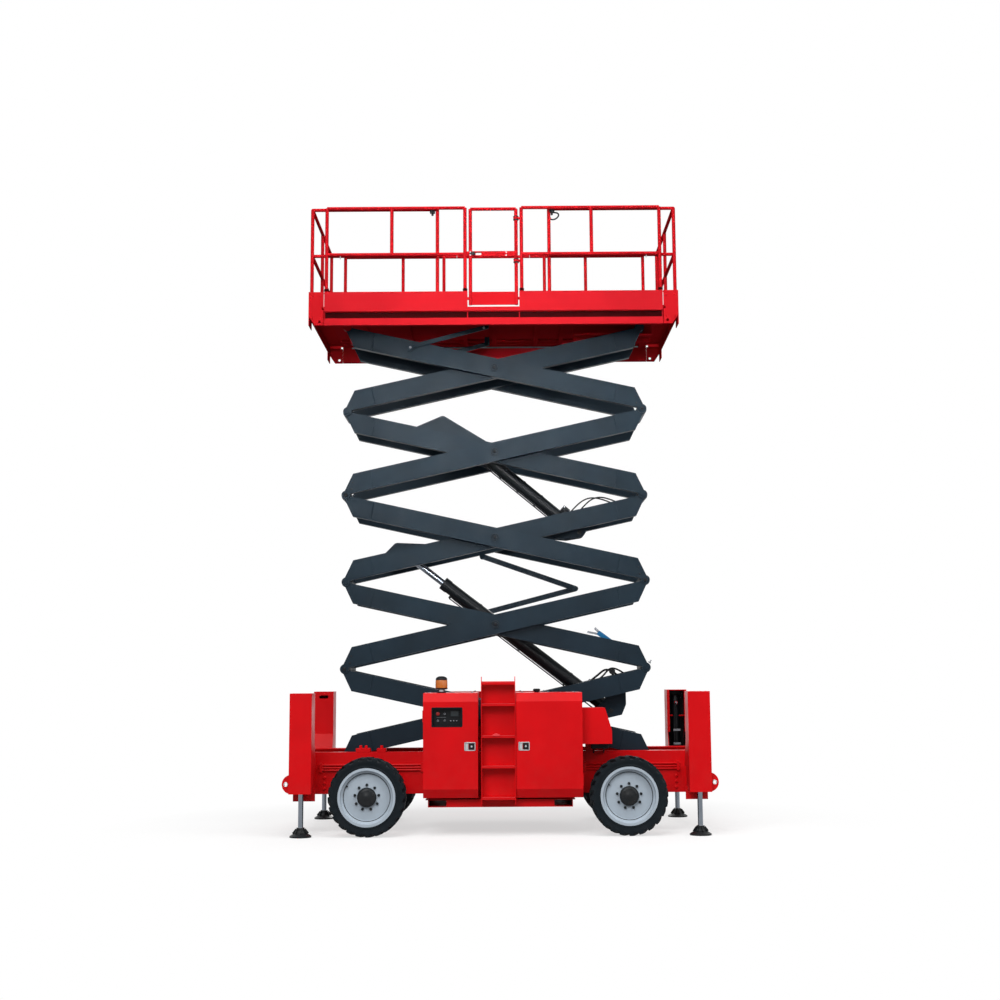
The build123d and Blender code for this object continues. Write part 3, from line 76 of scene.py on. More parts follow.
# %% Camera
camera = bpy.data.objects.new("camera", bpy.data.cameras.new("camera"))
bpy.context.scene.collection.objects.link(camera)
tip, roll = math.atan(0.15), math.radians(-0.35)
right = np.array([1.0, 0.0, 0.0])
forward = np.array([0.0, math.cos(tip), math.sin(tip)])
upward = np.cross(right, forward)
across = math.cos(roll) * right + math.sin(roll) * upward
above = math.cos(roll) * upward - math.sin(roll) * right
turn = Matrix(np.column_stack([across, above, -forward]).tolist()).to_4x4()
camera.matrix_world = Matrix.Translation((0.04, -18.0, 1.655)) @ turn
camera.data.lens = 56.38
camera.data.sensor_width = 36.0
camera.data.shift_x = -0.002
camera.data.shift_y = -0.0579
camera.data.clip_end = 200.0
bpy.context.scene.camera = camera
print("camera", [round(v, 2) for v in camera.location])

# %% [markdown]
# ## Shapes from two parameters
# Nearly everything bolted to a machine is a profile turned about an axis, a ring carried along a path, or a
# rounded plate. A function for each makes it as whole arrays of points, and another puts them in a mesh.


# %% Turned shapes
def unit(v):
    """A vector of length one."""
    v = np.asarray(v, float)
    return v / np.linalg.norm(v)


def sides_of(axis):
    """Two unit vectors square to an axis and to each other, so that side, up and axis are right-handed."""
    w = unit(axis)
    side = unit(np.cross(w, [0, 0, 1]) if abs(w[2]) < 0.9 else np.cross([0, 1, 0], w))
    return side, np.cross(w, side), w


def rows_to_faces(rows, around, closed_rows=False):
    """Quads between neighbouring rows of points, where each row is a closed ring."""
    i = np.arange(rows if closed_rows else rows - 1)[:, None]
    j = np.arange(around)[None, :]
    k, n = (i + 1) % rows, (j + 1) % around
    quads = np.stack([i * around + j, i * around + n, k * around + n, k * around + j], -1)
    return quads.reshape(-1, 4).tolist()


def turned(profile, origin, axis, around):
    """Point = origin + axis * height + (side * cos a + up * sin a) * radius, for each (radius, height) pair.

    The profile climbs along the axis on its outer side. Its ends are closed with a flat cap, or meet in a pole.
    """
    profile = np.asarray(profile, float)
    side, up, w = sides_of(axis)
    a = np.linspace(0, 2 * math.pi, around, endpoint=False)
    ring = np.cos(a)[:, None] * side + np.sin(a)[:, None] * up
    first, last = profile[0, 0] < 1e-9, profile[-1, 0] < 1e-9
    body = profile[first:len(profile) - last]
    points = np.asarray(origin) + body[:, 1, None, None] * w + body[:, 0, None, None] * ring
    points = points.reshape(-1, 3)
    faces = rows_to_faces(len(body), around)
    top = (len(body) - 1) * around
    j = np.arange(around)
    n = (j + 1) % around
    if first:
        faces += np.stack([n, j, np.full(around, len(points))], -1).tolist()
        points = np.vstack([points, np.asarray(origin) + profile[0, 1] * w])
    else:
        faces.append(j[::-1].tolist())
    if last:
        faces += np.stack([top + j, top + n, np.full(around, len(points))], -1).tolist()
        points = np.vstack([points, np.asarray(origin) + profile[-1, 1] * w])
    else:
        faces.append((top + j).tolist())
    return points, faces


# %% Carried shapes
def smooth_path(corners, count=40):
    """A uniform cubic B-spline: each point is the four nearest corners weighed by the spline's cubic shares."""
    c = np.asarray(corners, float)
    c = np.vstack([2 * c[0] - c[1], c, 2 * c[-1] - c[-2]])
    t = np.linspace(0, len(c) - 3 - 1e-9, count)
    i, f = t.astype(int), (t % 1)[:, None]
    shares = [(1 - f) ** 3, 3 * f**3 - 6 * f**2 + 4, -3 * f**3 + 3 * f**2 + 3 * f + 1, f**3]
    return sum(s * c[i + k] for k, s in enumerate(shares)) / 6


def carried(path, radius, around=12, up=(0, 0, 1)):
    """A ring carried along a path, square to it: point = path + radius * (over * cos a + side * sin a)."""
    path = np.asarray(path, float)
    along = np.gradient(path, axis=0)
    along /= np.linalg.norm(along, axis=1)[:, None]
    side = np.cross(along, np.asarray(up, float))
    side /= np.linalg.norm(side, axis=1)[:, None]
    over = np.cross(side, along)
    a = np.linspace(0, 2 * math.pi, around, endpoint=False)
    r = np.broadcast_to(np.asarray(radius, float), len(path))[:, None, None]
    ring = np.cos(a)[None, :, None] * over[:, None] + np.sin(a)[None, :, None] * side[:, None]
    points = (path[:, None] + r * ring).reshape(-1, 3)
    faces = rows_to_faces(len(path), around)
    top = (len(path) - 1) * around
    faces += [list(range(around))[::-1], list(range(top, top + around))]
    return points, faces


def slab(middle, size, normal=(0, -1, 0), corner=0.004, bevel=0.0015, per_corner=4):
    """A rounded rectangle carried along its normal, pulled in by the bevel at both ends.

    size is (width along side, height along up, thickness along the normal); side and up come from sides_of.
    """
    side, up, w = sides_of(normal)
    a = np.linspace(0, math.pi / 2, per_corner)
    quarter = np.stack([np.cos(a), np.sin(a)], -1)
    turns = [np.array([[c, -s], [s, c]]) for c, s in ((1, 0), (0, 1), (-1, 0), (0, -1))]
    arcs = np.stack([quarter @ t.T for t in turns])
    signs = np.array([(1, 1), (-1, 1), (-1, -1), (1, -1)])[:, None]
    rows = []
    for height, inset in ((0, bevel), (bevel, 0), (size[2] - bevel, 0), (size[2], bevel)):
        half = np.array([size[0] / 2 - corner, size[1] / 2 - corner])
        flat = (signs * half + arcs * (corner - inset)).reshape(-1, 2)
        rows.append(np.asarray(middle) + flat[:, :1] * side + flat[:, 1:] * up + (height - size[2] / 2) * w)
    around = 4 * per_corner
    faces = rows_to_faces(4, around)
    faces += [list(range(around))[::-1], list(range(3 * around, 4 * around))]
    return np.vstack(rows), faces


# %% Joining, and putting in a mesh
def joined(*shapes):
    """Several shapes' points and faces as one shape."""
    points, faces, shift = [], [], 0
    for p, f in shapes:
        points.append(p)
        faces += [[i + shift for i in face] for face in f]
        shift += len(p)
    return np.vstack(points), faces


def band(place, axis, inner, outer, half, flat, around):
    """A short ring round an axis: half its height at the inner radius, the lesser flat at the outer one."""
    return turned([(inner, -half), (outer, -flat), (outer, flat), (inner, half)], place, axis, around)


to_near, to_front, to_sky = (0, -1, 0), (1, 0, 0), (0, 0, 1)
both_ends = (("rear", -1), ("front", 1))
both_sides = (("near", -1), ("far", 1))
made = []
usual_slots = {
    "red_paint": "paint", "shaded_deck_red": "paint", "rail_red": "paint", "shade_red": "paint",
    "highlight_red": "paint", "arm_paint": "arm_paint", "rim_paint": "rim", "black_paint": "black",
    "black_plastic": "black", "hose_rubber": "black", "rubber": "black", "dark_paint": "black",
    "casting": "cast", "zinc": "chrome", "steel": "chrome"}


def piece(name, shape, finish, body, slot=None, sharp=35.0):
    """Makes an object of a shape or a list of shapes, gives it a finish, and lets it ride on a body."""
    if isinstance(shape, list):
        shape = joined(*shape)
    slot = slot or usual_slots[finish.name.split(".")[0]]
    mesh = bpy.data.meshes.new(name)
    mesh.from_pydata(shape[0].tolist(), [], shape[1])
    mesh.validate()
    mesh.materials.append(finish)
    mesh.shade_smooth()
    mesh.set_sharp_from_angle(angle=math.radians(sharp))
    thing = bpy.data.objects.new(name, mesh)
    bpy.context.scene.collection.objects.link(thing)
    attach(thing, body)
    made.append(name)
    return thing


print("shape functions ready")

# %% [markdown]
# ## Finishes
# A sprayed machine is never one flat colour. The paint drifts a little in shade, its skin has a fine ripple
# called orange peel, and low panels carry a film of dust. One function makes every sprayed finish from
# these layers on Object coordinates, in metres, so the ripple has its true size on a wheel and on an arm.


# %% Node helpers
def feed(tree, node, values):
    """Feeds named inputs of a node: another node's output is joined to it, a number or a colour is set."""
    for name, value in values.items():
        if hasattr(value, "is_linked"):
            tree.links.new(value, node.inputs[name])
        else:
            node.inputs[name].default_value = value
    return node


def new_node(tree, kind, values=None, **settings):
    """A node of one kind with its settings, its inputs fed."""
    node = tree.nodes.new("ShaderNode" + kind)
    for setting, value in settings.items():
        setattr(node, setting, value)
    return feed(tree, node, values or {})


def new_finish(name):
    """An empty node material: its tree, its shader, and where a point is on its piece, in metres."""
    material = bpy.data.materials.new(name)
    material.use_nodes = True
    tree = material.node_tree
    tree.nodes.clear()
    shader = new_node(tree, "BsdfPrincipled")
    new_node(tree, "OutputMaterial", {"Surface": shader.outputs["BSDF"]})
    return material, tree, shader, new_node(tree, "TexCoord").outputs["Object"]


def noise(tree, where, scale, detail=3.0, roughness=0.5):
    """Cloudy noise with features about 1/scale metres across."""
    values = {"Scale": scale, "Detail": detail, "Roughness": roughness, "Vector": where}
    return new_node(tree, "TexNoise", values).outputs["Fac"]


def remap(tree, value, low, high, new_low, new_high):
    """Stretches a range of values to another range, held at its ends."""
    values = {"Value": value, "From Min": low, "From Max": high, "To Min": new_low, "To Max": new_high}
    return new_node(tree, "MapRange", values).outputs["Result"]


def mix_colour(tree, share, first, second):
    """Goes from one colour to another as the share goes from 0 to 1."""
    first, second = [c if hasattr(c, "is_linked") else (*c, 1.0) for c in (first, second)]
    return new_node(tree, "Mix", {"Factor": share, 6: first, 7: second}, data_type="RGBA").outputs[2]


def product(tree, a, b, operation="MULTIPLY"):
    """The product of two values, or what another operation makes of them."""
    return new_node(tree, "Math", {0: a, 1: b}, operation=operation).outputs[0]


def blend(tree, share, first, second):
    """Goes from one shader to another as the share goes from 0 to 1."""
    return new_node(tree, "MixShader", {0: share, 1: first.outputs[0], 2: second.outputs[0]}).outputs[0]


def bump(tree, shader, height, strength, distance):
    """Tilts the surface by the slope of a height."""
    node = new_node(tree, "Bump", {"Strength": strength, "Distance": distance, "Height": height})
    feed(tree, shader, {"Normal": node.outputs["Normal"]})


# %% Sprayed paint
def sprayed(name, colour, rough=0.36, drift=0.08, peel=0.2, dust=0.2, gloss_level=0.22):
    """Paint: colour drifts over half a metre, orange peel of 3 mm, scuffs, and dust that thins with height."""
    material, tree, shader, where = new_finish(name)
    colour = np.asarray(colour)
    shade = noise(tree, where, 2.2, 4.0)
    paint = mix_colour(tree, remap(tree, shade, 0.3, 0.7, 0, 1), colour * (1 - drift), colour * (1 + drift))
    scuff = remap(tree, noise(tree, where, 14.0, 8.0, 0.72), 0.66, 0.74, 0.0, 0.35)
    paint = mix_colour(tree, scuff, paint, tuple(np.minimum(colour * 0.8 + 0.012, 1)))
    height = new_node(tree, "SeparateXYZ", {0: where}).outputs["Z"]
    low = remap(tree, height, 0.2, 1.3, dust, 0.0)
    patch = remap(tree, noise(tree, where, 7.0, 6.0, 0.65), 0.42, 0.66, 0.0, 1.0)
    dusty = tuple(0.75 * colour + 0.25 * np.array([0.16, 0.13, 0.1]))
    paint = mix_colour(tree, product(tree, low, patch), paint, dusty)
    gloss = remap(tree, noise(tree, where, 5.0, 5.0), 0.3, 0.7, rough - 0.05, rough + 0.07)
    feed(tree, shader, {"Base Color": paint, "Roughness": gloss, "Specular IOR Level": gloss_level})
    bump(tree, shader, noise(tree, where, 300.0, 2.0), peel, 0.0006)
    return material


red_paint = sprayed("red_paint", (0.66, 0.003, 0.006), gloss_level=0.12)
# The platform deck, and the extension decks, rails and gate in rail_red, carry the chassis red painted darker:
# painted shade against the stronger light up at the platform.
shaded_deck_red = sprayed("shaded_deck_red", (0.39, 0.01, 0.015), dust=0.0, gloss_level=0.0)
rail_red = sprayed("rail_red", (0.4, 0.008, 0.012), dust=0.0, gloss_level=0.0)
# shade_red, where it lines the side beams' channels, is painted shade.
shade_red = sprayed("shade_red", (0.026, 0.0005, 0.001), rough=0.6, dust=0.0, gloss_level=0.02)
arm_paint = sprayed("arm_paint", (0.007, 0.017, 0.027), rough=0.5, drift=0.2, dust=0.1, gloss_level=0.14)
rim_paint = sprayed("rim_paint", (0.42, 0.49, 0.56), rough=0.45, drift=0.04, dust=0.35)
black_paint = sprayed("black_paint", (0.005, 0.007, 0.009), rough=0.4, dust=0.2, gloss_level=0.2)
dark_paint = sprayed(
    "dark_paint", (0.012, 0.016, 0.02), rough=0.55, drift=0.2, peel=0.4, dust=0.3, gloss_level=0.15)
print("paints ready")


# %% [markdown]
# ## Metal, rubber and plastic
# Bare metal is mostly reflection, so its finish is in the roughness: an even grain, faint on a chromed rod and
# plain on a zinc bolt. Rubber is the opposite, dull, with a grain in the bump and paler dust in patches.

# %% Bare metals
def bare_metal(name, colour, rough, grain, relief):
    """Metal with a grain of the given scale in its tone, its roughness and its bump."""
    material, tree, shader, where = new_finish(name)
    colour = np.asarray(colour)
    tone = remap(tree, noise(tree, where, grain / 8, 5.0), 0.3, 0.7, 0, 1)
    gloss = remap(tree, noise(tree, where, grain, 4.0), 0.3, 0.7, rough * 0.7, rough * 1.35)
    metal = mix_colour(tree, tone, colour * 0.86, colour)
    feed(tree, shader, {"Base Color": metal, "Metallic": 1.0, "Roughness": gloss})
    bump(tree, shader, noise(tree, where, grain * 2, 2.0), relief, 0.0004)
    return material


chrome = bare_metal("chrome", (0.2, 0.225, 0.26), 0.16, 90.0, 0.04)
zinc = bare_metal("zinc", (0.46, 0.48, 0.5), 0.34, 120.0, 0.2)
steel = bare_metal("steel", (0.2, 0.21, 0.23), 0.42, 80.0, 0.25)


# %% Rubber, plastics and castings
def dull_solid(name, colour, rough, grain, relief, pale=(0.03, 0.032, 0.034), dust=0.3, depth=0.0006):
    """A dull solid with a grain in its bump and pale dust in patches."""
    material, tree, shader, where = new_finish(name)
    patch = remap(tree, noise(tree, where, 9.0, 7.0, 0.7), 0.45, 0.72, 0.0, dust)
    gloss = remap(tree, noise(tree, where, 18.0, 4.0), 0.3, 0.7, rough - 0.08, rough + 0.08)
    dusty = mix_colour(tree, patch, colour, pale)
    feed(tree, shader, {"Base Color": dusty, "Roughness": gloss, "Specular IOR Level": 0.15})
    bump(tree, shader, noise(tree, where, grain, 3.0, 0.6), relief, depth)
    return material


rubber = dull_solid("rubber", (0.003, 0.0065, 0.0095), 0.75, 220.0, 0.4, dust=0.2)
hose_rubber = dull_solid("hose_rubber", (0.004, 0.005, 0.006), 0.5, 400.0, 0.3, dust=0.1)
black_plastic = dull_solid("black_plastic", (0.005, 0.006, 0.008), 0.42, 600.0, 0.5, dust=0.1, depth=0.0003)
casting = dull_solid("casting", (0.014, 0.016, 0.019), 0.6, 160.0, 0.7, dust=0.4)
blue_plastic = dull_solid("blue_plastic", (0.008, 0.13, 0.31), 0.4, 500.0, 0.3, (0.05, 0.2, 0.36), 0.3, 0.0003)
signal_red = dull_solid("signal_red", (0.28, 0.02, 0.02), 0.35, 500.0, 0.2, (0.3, 0.05, 0.04), 0.3, 0.0003)
print("metals, rubber and plastics ready")


# %% Amber lens and dark glass
def lens(name, colour, rough, clear):
    """Moulded plastic, clear in part: some light goes through it, tinted, and its skin has a slow ripple."""
    material, tree, shader, where = new_finish(name)
    tone = remap(tree, noise(tree, where, 25.0, 3.0), 0.3, 0.7, 0, 1)
    gloss = remap(tree, noise(tree, where, 60.0), 0.3, 0.7, rough, rough + 0.06)
    tint = mix_colour(tree, tone, np.asarray(colour) * 0.85, colour)
    feed(tree, shader, {"Base Color": tint, "Roughness": gloss, "Transmission Weight": clear})
    feed(tree, shader, {"Specular IOR Level": 0.3, "IOR": 1.49})
    bump(tree, shader, noise(tree, where, 120.0, 1.0), 0.1, 0.0005)
    return material


amber = lens("amber", (0.6, 0.15, 0.006), 0.16, 0.15)
display_glass = lens("display_glass", (0.02, 0.03, 0.035), 0.08, 0.0)
print("lens and glass ready")

# %% [markdown]
# ## Dressing the carried-over pieces
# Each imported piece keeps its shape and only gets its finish. A short table of name beginnings says which.

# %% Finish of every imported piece
finish_of = {
    "arm_": arm_paint, "guide_": arm_paint, "tyre_": rubber, "rim_": rim_paint, "leg_rod": chrome,
    "leg_pad": black_paint, "front_axle": dark_paint, "rear_axle": dark_paint, "front_knuckle": dark_paint,
    "platform_deck": shaded_deck_red, "extension_deck": rail_red, "platform_rails": rail_red, "gate": rail_red,
    "engine_block": casting, "beacon": amber, "control_panel": black_plastic,
    "lower_cylinder_barrel": black_paint, "upper_cylinder_barrel": black_paint, "lower_cylinder_rod": chrome,
    "upper_cylinder_rod": chrome,}
for name, thing in nodes.items():
    finish = next((f for start, f in finish_of.items() if name.startswith(start)), red_paint)
    thing.data.materials.clear()
    thing.data.materials.append(finish)
    thing.data.shade_smooth()
    thing.data.set_sharp_from_angle(angle=math.radians(30))
print("dressed", len(nodes))

# %% [markdown]
# ## Extension rails without their short middle posts
# The end rails of the real machine span each extension in one bay, and only the platform's own rails have a
# post in the upper half. The solid has one short post more on each extension rail, so the shown extension is
# the same surface with that post left out, and a sleeve covers the two places where it met the tubes.

# %% Extensions
rail_y, sleeve_radius, post_reach = 0.977, 0.0189, 0.022
deck_top, rail_top, mid_rail = 5.7098, 6.8548, 6.3224
for end in ("rear", "front"):
    name = f"extension_deck_{end}"
    mesh = nodes[name].data
    points = np.empty(len(mesh.vertices) * 3)
    mesh.vertices.foreach_get("co", points)
    points = points.reshape(-1, 3)
    on_side = np.abs(np.abs(points[:, 1]) - rail_y) < post_reach
    open_span = on_side & (points[:, 2] > mid_rail - 0.001) & (points[:, 2] < rail_top + 0.001)
    rail_x = points[on_side & (points[:, 2] > mid_rail)][:, 0]
    middle = (rail_x.min() + rail_x.max()) / 2
    print(name, "rails from", round(rail_x.min(), 3), "to", round(rail_x.max(), 3))
    dropped = open_span & (np.abs(points[:, 0] - middle) < post_reach)
    faces = [list(p.vertices) for p in mesh.polygons]
    kept = [f for f in faces if not dropped[f].all()]
    sleeves = [
        band((middle, side * rail_y, level), to_front, 0.01, sleeve_radius, 0.026, 0.026, 40)
        for side in (-1, 1) for level in (mid_rail, rail_top)]
    shown_deck = piece(
        f"extension_shown_{end}", joined((points, kept), *sleeves), rail_red, f"extension_{end}", "paint", 30.0)
    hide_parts(name)
    print(name, "faces", len(faces), "kept", len(kept))

# %% [markdown]
# ## Floor, sky and lamps
# A pale floor fades into a white backdrop. Large soft lamps from both sides and above keep the red true and
# let the undersides fall dark, as in a hall with a bright ceiling. A narrow lamp at the height of the deck
# reaches the upper arms, which the platform would otherwise keep in its shade.

# %% Floor
floor_mesh = bpy.data.meshes.new("floor")
floor_mesh.from_pydata(
    [(-40, -40, -0.001), (40, -40, -0.001), (40, 60, -0.001), (-40, 60, -0.001)], [], [(0, 1, 2, 3)])
floor = bpy.data.objects.new("floor", floor_mesh)
bpy.context.scene.collection.objects.link(floor)
floor_paint, tree, shader, where = new_finish("floor_paint")
tone = remap(tree, noise(tree, where, 0.6, 4.0), 0.3, 0.7, 0, 1)
pale = mix_colour(tree, tone, (0.9, 0.9, 0.9), (0.94, 0.94, 0.94))
grey = (0.26, 0.26, 0.26)


def seen_directly(tree):
    """1 for what the camera sees straight, in a mirror or through glass, and 0 for light that bounces."""
    rays = new_node(tree, "LightPath").outputs
    either = product(tree, rays["Is Camera Ray"], rays["Is Glossy Ray"], "MAXIMUM")
    return product(tree, either, rays["Is Transmission Ray"], "MAXIMUM")


seen = seen_directly(tree)
floor_tone = mix_colour(tree, seen, grey, pale)
feed(tree, shader, {"Base Color": floor_tone, "Roughness": 0.9, "Specular IOR Level": 0.0})
distance = new_node(tree, "VectorMath", {0: where}, operation="LENGTH").outputs["Value"]
shown = product(tree, remap(tree, distance, 2.4, 4.6, 0.6, 1.0), seen)
glow = new_node(tree, "Emission", {"Color": (1, 1, 1, 1)})
feed(tree, tree.nodes["Material Output"], {"Surface": blend(tree, shown, shader, glow)})
floor_mesh.materials.append(floor_paint)

# %% White surroundings
world = bpy.data.worlds.new("surroundings")
bpy.context.scene.world = world
world.use_nodes = True
tree = world.node_tree
tree.nodes.clear()
lit, white = [new_node(tree, "Background", {"Color": (1, 1, 1, 1), "Strength": level}) for level in (0.25, 1.0)]
new_node(tree, "OutputWorld", {"Surface": blend(tree, seen_directly(tree), lit, white)})


# %% Lamps
def soft_lamp(name, place, target, size, power, spread=180.0):
    """A square lamp that looks from its place at a target."""
    lamp = bpy.data.objects.new(name, bpy.data.lights.new(name, "AREA"))
    lamp.data.shape = "SQUARE"
    lamp.data.size = size
    lamp.data.energy = power
    lamp.data.spread = math.radians(spread)
    bpy.context.scene.collection.objects.link(lamp)
    back = unit(np.subtract(place, target))
    side = unit(np.cross([0, 0, 1], back))
    axes = np.column_stack([side, np.cross(back, side), back])
    lamp.matrix_world = Matrix.Translation(place) @ Matrix(axes.tolist()).to_4x4()


soft_lamp("front_lamp", (-5.0, -15.0, 12.0), (0, 0, 3.0), 8.0, 1750.0)
soft_lamp("side_lamp", (11.0, -9.0, 9.0), (0, 0, 3.0), 7.0, 760.0)
soft_lamp("top_lamp", (0.0, -6.0, 15.0), (0, -1, 1), 9.0, 1000.0)
soft_lamp("low_lamp", (-1.0, -15.0, 5.0), (0, 0, 5.3), 3.0, 44.0, 23.0)
soft_lamp("back_lamp", (2.0, 14.0, 9.0), (0, 0, 3.0), 8.0, 900.0)
bpy.context.scene.view_settings.view_transform = "Standard"
print("floor, surroundings and lamps ready")

# %% [markdown]
# ## Tyres
# Lifts for rough ground stand on foam-filled tyres with deep lugs. The lugs of the two shoulders alternate, so
# one side's block stands beside the other side's gap. The tyre is one surface of angle and profile: the
# profile gives radius and width, and the lugs are added to the radius where the angle falls in a block.


# %% Tyre surface
def lugged_tyre(middle, outer_radius, inner_radius, half_width, lugs=24, depth=0.024):
    """Radius = profile radius + depth * block(angle, side); the angle lags at the shoulder, so lugs slant."""
    cuts = np.array([0.05, 0.09, 0.24, 0.4, 0.55, 0.59, 0.74, 0.9])
    left = np.array([0, 1, 1, 1, 1, 0, 0, 0.0])
    step = (np.arange(lugs)[:, None] + cuts).ravel() * 2 * math.pi / lugs
    base = outer_radius - depth
    # y as a share of the half width, height above the inner radius or the base, share of the lug's depth
    bead = [(0.6, 0.002), (0.84, -0.004), (0.93, 0.004), (0.955, 0.016), (0.93, 0.024), (0.95, 0.045)]
    shoulder = [(0.965, -0.036, 0), (0.985, -0.022, 0.15), (1.0, -0.012, 0.55), (0.985, -0.004, 0.8)]
    crown = [(0.9, 0, 0.98), *[(y, 0.001, 1.0) for y in (0.7, 0.45, 0.22, 0.1, 0.04)]]
    profile = [(y, inner_radius + h, 0) for y, h in bead] + [
        (y, base + h, share) for y, h, share in shoulder + crown]
    profile = np.array(profile)
    both = np.vstack([profile, profile[::-1] * [-1, 1, 1]])
    rise = np.where(both[:, None, 0] > 0, left, 1 - left)
    rise = np.tile(rise, (1, lugs))
    centre_rib = np.clip(1.3 - np.abs(both[:, 0]) / 0.1, 0, 1)[:, None]
    rise = np.maximum(rise, 0.75 * centre_rib)
    radius = both[:, 1, None] + depth * both[:, 2, None] * rise
    edge = np.clip(np.abs(both[:, 0]), 0, 1)[:, None]
    angle = step[None] + 0.55 * edge * 2 * math.pi / lugs
    y = both[:, 0, None] * half_width + 0 * angle
    points = np.stack([radius * np.sin(angle), -y, radius * np.cos(angle)], -1) + np.asarray(middle)
    return points.reshape(-1, 3), rows_to_faces(len(both), len(step), closed_rows=True)


for end in ("rear", "front"):
    for side in ("near", "far"):
        low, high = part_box(f"tyre_{end}_{side}")
        middle = [(a + b) / 2 for a, b in zip(low, high)]
        shape = lugged_tyre(middle, (high[2] - low[2]) / 2 - 0.001, 0.304, (high[1] - low[1]) / 2)
        tyre = piece(f"tread_{end}_{side}", shape, rubber, f"wheel_{end}_{side}", "tyre", 28)
        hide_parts(f"tyre_{end}_{side}")
print("tyre faces", len(tyre.data.polygons))

# %% [markdown]
# ## Wheels
# A pressed steel wheel has a rolled edge, a lock ring that shows as a thin dark line, nine studs and a black
# hub cover. Turning makes the round parts, and the studs stand at evenly spaced angles round the hub.


# %% Hoops, bolts, bars and pipes
def circle(count, start=0.0):
    """The cosine and the sine of evenly spaced angles."""
    angles = np.arange(count) * 2 * math.pi / count + start
    return list(zip(np.cos(angles), np.sin(angles)))


def hoop(origin, axis, radius, thick, around=48, along=8):
    """Point = origin + (radius + thick * cos b) * ring(a) + thick * sin b * axis, a torus of the two angles."""
    side, up, w = sides_of(axis)
    a = np.linspace(0, 2 * math.pi, around, endpoint=False)[:, None, None]
    b = np.linspace(0, 2 * math.pi, along, endpoint=False)[None, :, None]
    ring = np.cos(a) * side + np.sin(a) * up
    points = np.asarray(origin) + (radius + thick * np.cos(b)) * ring + thick * np.sin(b) * w
    return points.reshape(-1, 3), rows_to_faces(around, along, closed_rows=True)


def bolt(place, axis, size):
    """A washer and a six-sided head with a small chamfer; size is the head's radius."""
    washer = turned(
        [(1.35 * size, -0.3 * size), (1.35 * size, 0.2 * size), (1.2 * size, 0.3 * size)], place, axis, 18)
    head = turned([(size, 0.1 * size), (size, 0.75 * size), (0.84 * size, 0.95 * size)], place, axis, 6)
    return joined(washer, head)


def bolts(places, axis, size):
    """The same bolt at several places."""
    return joined(*[bolt(place, axis, size) for place in places])


def bar(start, end, height, thick, across=(0, -1, 0), corner=0.006):
    """A flat bar from start to end: a slab whose side runs along it and whose thickness runs across."""
    start, end = np.asarray(start, float), np.asarray(end, float)
    points, faces = slab((0, 0, 0), (np.linalg.norm(end - start), height, thick), (0, -1, 0), corner, 0.0015)
    along, w = unit(end - start), unit(across)
    side, up, normal = sides_of((0, -1, 0))
    own = np.column_stack([points @ side, points @ up, points @ normal])
    return own @ np.stack([along, np.cross(w, along), w]) + (start + end) / 2, faces


def pipe(corners, radius, up=(0, 1, 0), count=40, around=10):
    """A round pipe along a smooth path through its corners."""
    return carried(smooth_path(corners, count), radius, around, up)


print("bolt faces", len(bolt((0, 0, 0), to_sky, 0.01)[1]))

# %% Hub covers, studs and lock rings
stud_count, stud_circle, cover_circle = 9, 0.128, 0.072
for end in ("rear", "front"):
    for side, out in both_sides:
        low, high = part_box(f"rim_{end}_{side}")
        x, z = (low[0] + high[0]) / 2, (low[2] + high[2]) / 2
        face = high[1] if out > 0 else low[1]
        body, axis = f"wheel_{end}_{side}", (0, out, 0)

        def behind(depth, dx=0.0, dz=0.0):
            """A point at a depth behind the face of the rim, dx and dz away from the axle."""
            return x + dx, face - out * depth, z + dz

        dome = [
            (0.101, 0), (0.103, 0.014), (0.099, 0.034), (0.089, 0.045), (0.066, 0.0515), (0.034, 0.0525),
            (0.031, 0.0545), (0, 0.0545)]
        cover_bolts = [
            bolt(behind(0.007, cover_circle * c, cover_circle * s), axis, 0.006) for c, s in circle(6, 0.3)]
        cover = turned(dome, behind(0.056), axis, 40)
        piece(f"hub_cover_{end}_{side}", [cover, *cover_bolts], black_paint, body)
        nut, stud = [(0.016, 0), (0.016, 0.016), (0.013, 0.02)], [(0.008, 0.01), (0.008, 0.032)]
        studs = [
            turned(part, behind(0.064, stud_circle * c, stud_circle * s), axis, around)
            for c, s in circle(stud_count, 0.17) for part, around in ((nut, 6), (stud, 12))]
        piece(f"wheel_studs_{end}_{side}", studs, dark_paint, body, "cast")
        piece(f"lock_ring_{end}_{side}", hoop(behind(0.049), axis, 0.2475, 0.0035, 72), dark_paint, body)
        edges = [
            hoop(behind(0.008), axis, 0.2985, 0.0068, 72, 10), hoop(behind(0.012), axis, 0.2815, 0.0045, 72, 8)]
        piece(f"rolled_edge_{end}_{side}", edges, rim_paint, body)
        stem = [behind(0.075, -0.2, 0.11), behind(0.045, -0.205, 0.113), behind(0.03, -0.212, 0.118)]
        piece(f"valve_stem_{end}_{side}", pipe(stem, 0.006, to_sky, 12, 8), black_plastic, body)
print("studs on each wheel", stud_count)

# %% [markdown]
# ## Scissor arms
# The arms hinge on pins with bolted heads, and their forged ends are welded on, which leaves a bead across the
# beam. Each arm's own pin carries a ring, a bolt and two keeper bolts. The beads are round bars on the faces.

# %% Where things are on an arm
beam_tilt = math.radians(12.444)
half_beam, pin_offset = 1.7464, 0.1125
weld_at, bead_reach = half_beam - 0.33, 0.1055
rising = {("inner", 1), ("outer", 2), ("inner", 3), ("outer", 4), ("inner", 5)}


def on_arm(plane, stage, along, over, y):
    """A point given along and across an arm, from its centre pin."""
    centre = np.array(joints[f"arm_{stage}_centre"]["pos_m"])
    way = 1 if (plane, stage) in rising else -1
    run = np.array([way * math.cos(beam_tilt), 0, math.sin(beam_tilt)])
    climb = np.array([-way * math.sin(beam_tilt), 0, math.cos(beam_tilt)])
    return centre * [1, 0, 1] + along * run + over * climb + np.array([0, y, 0])


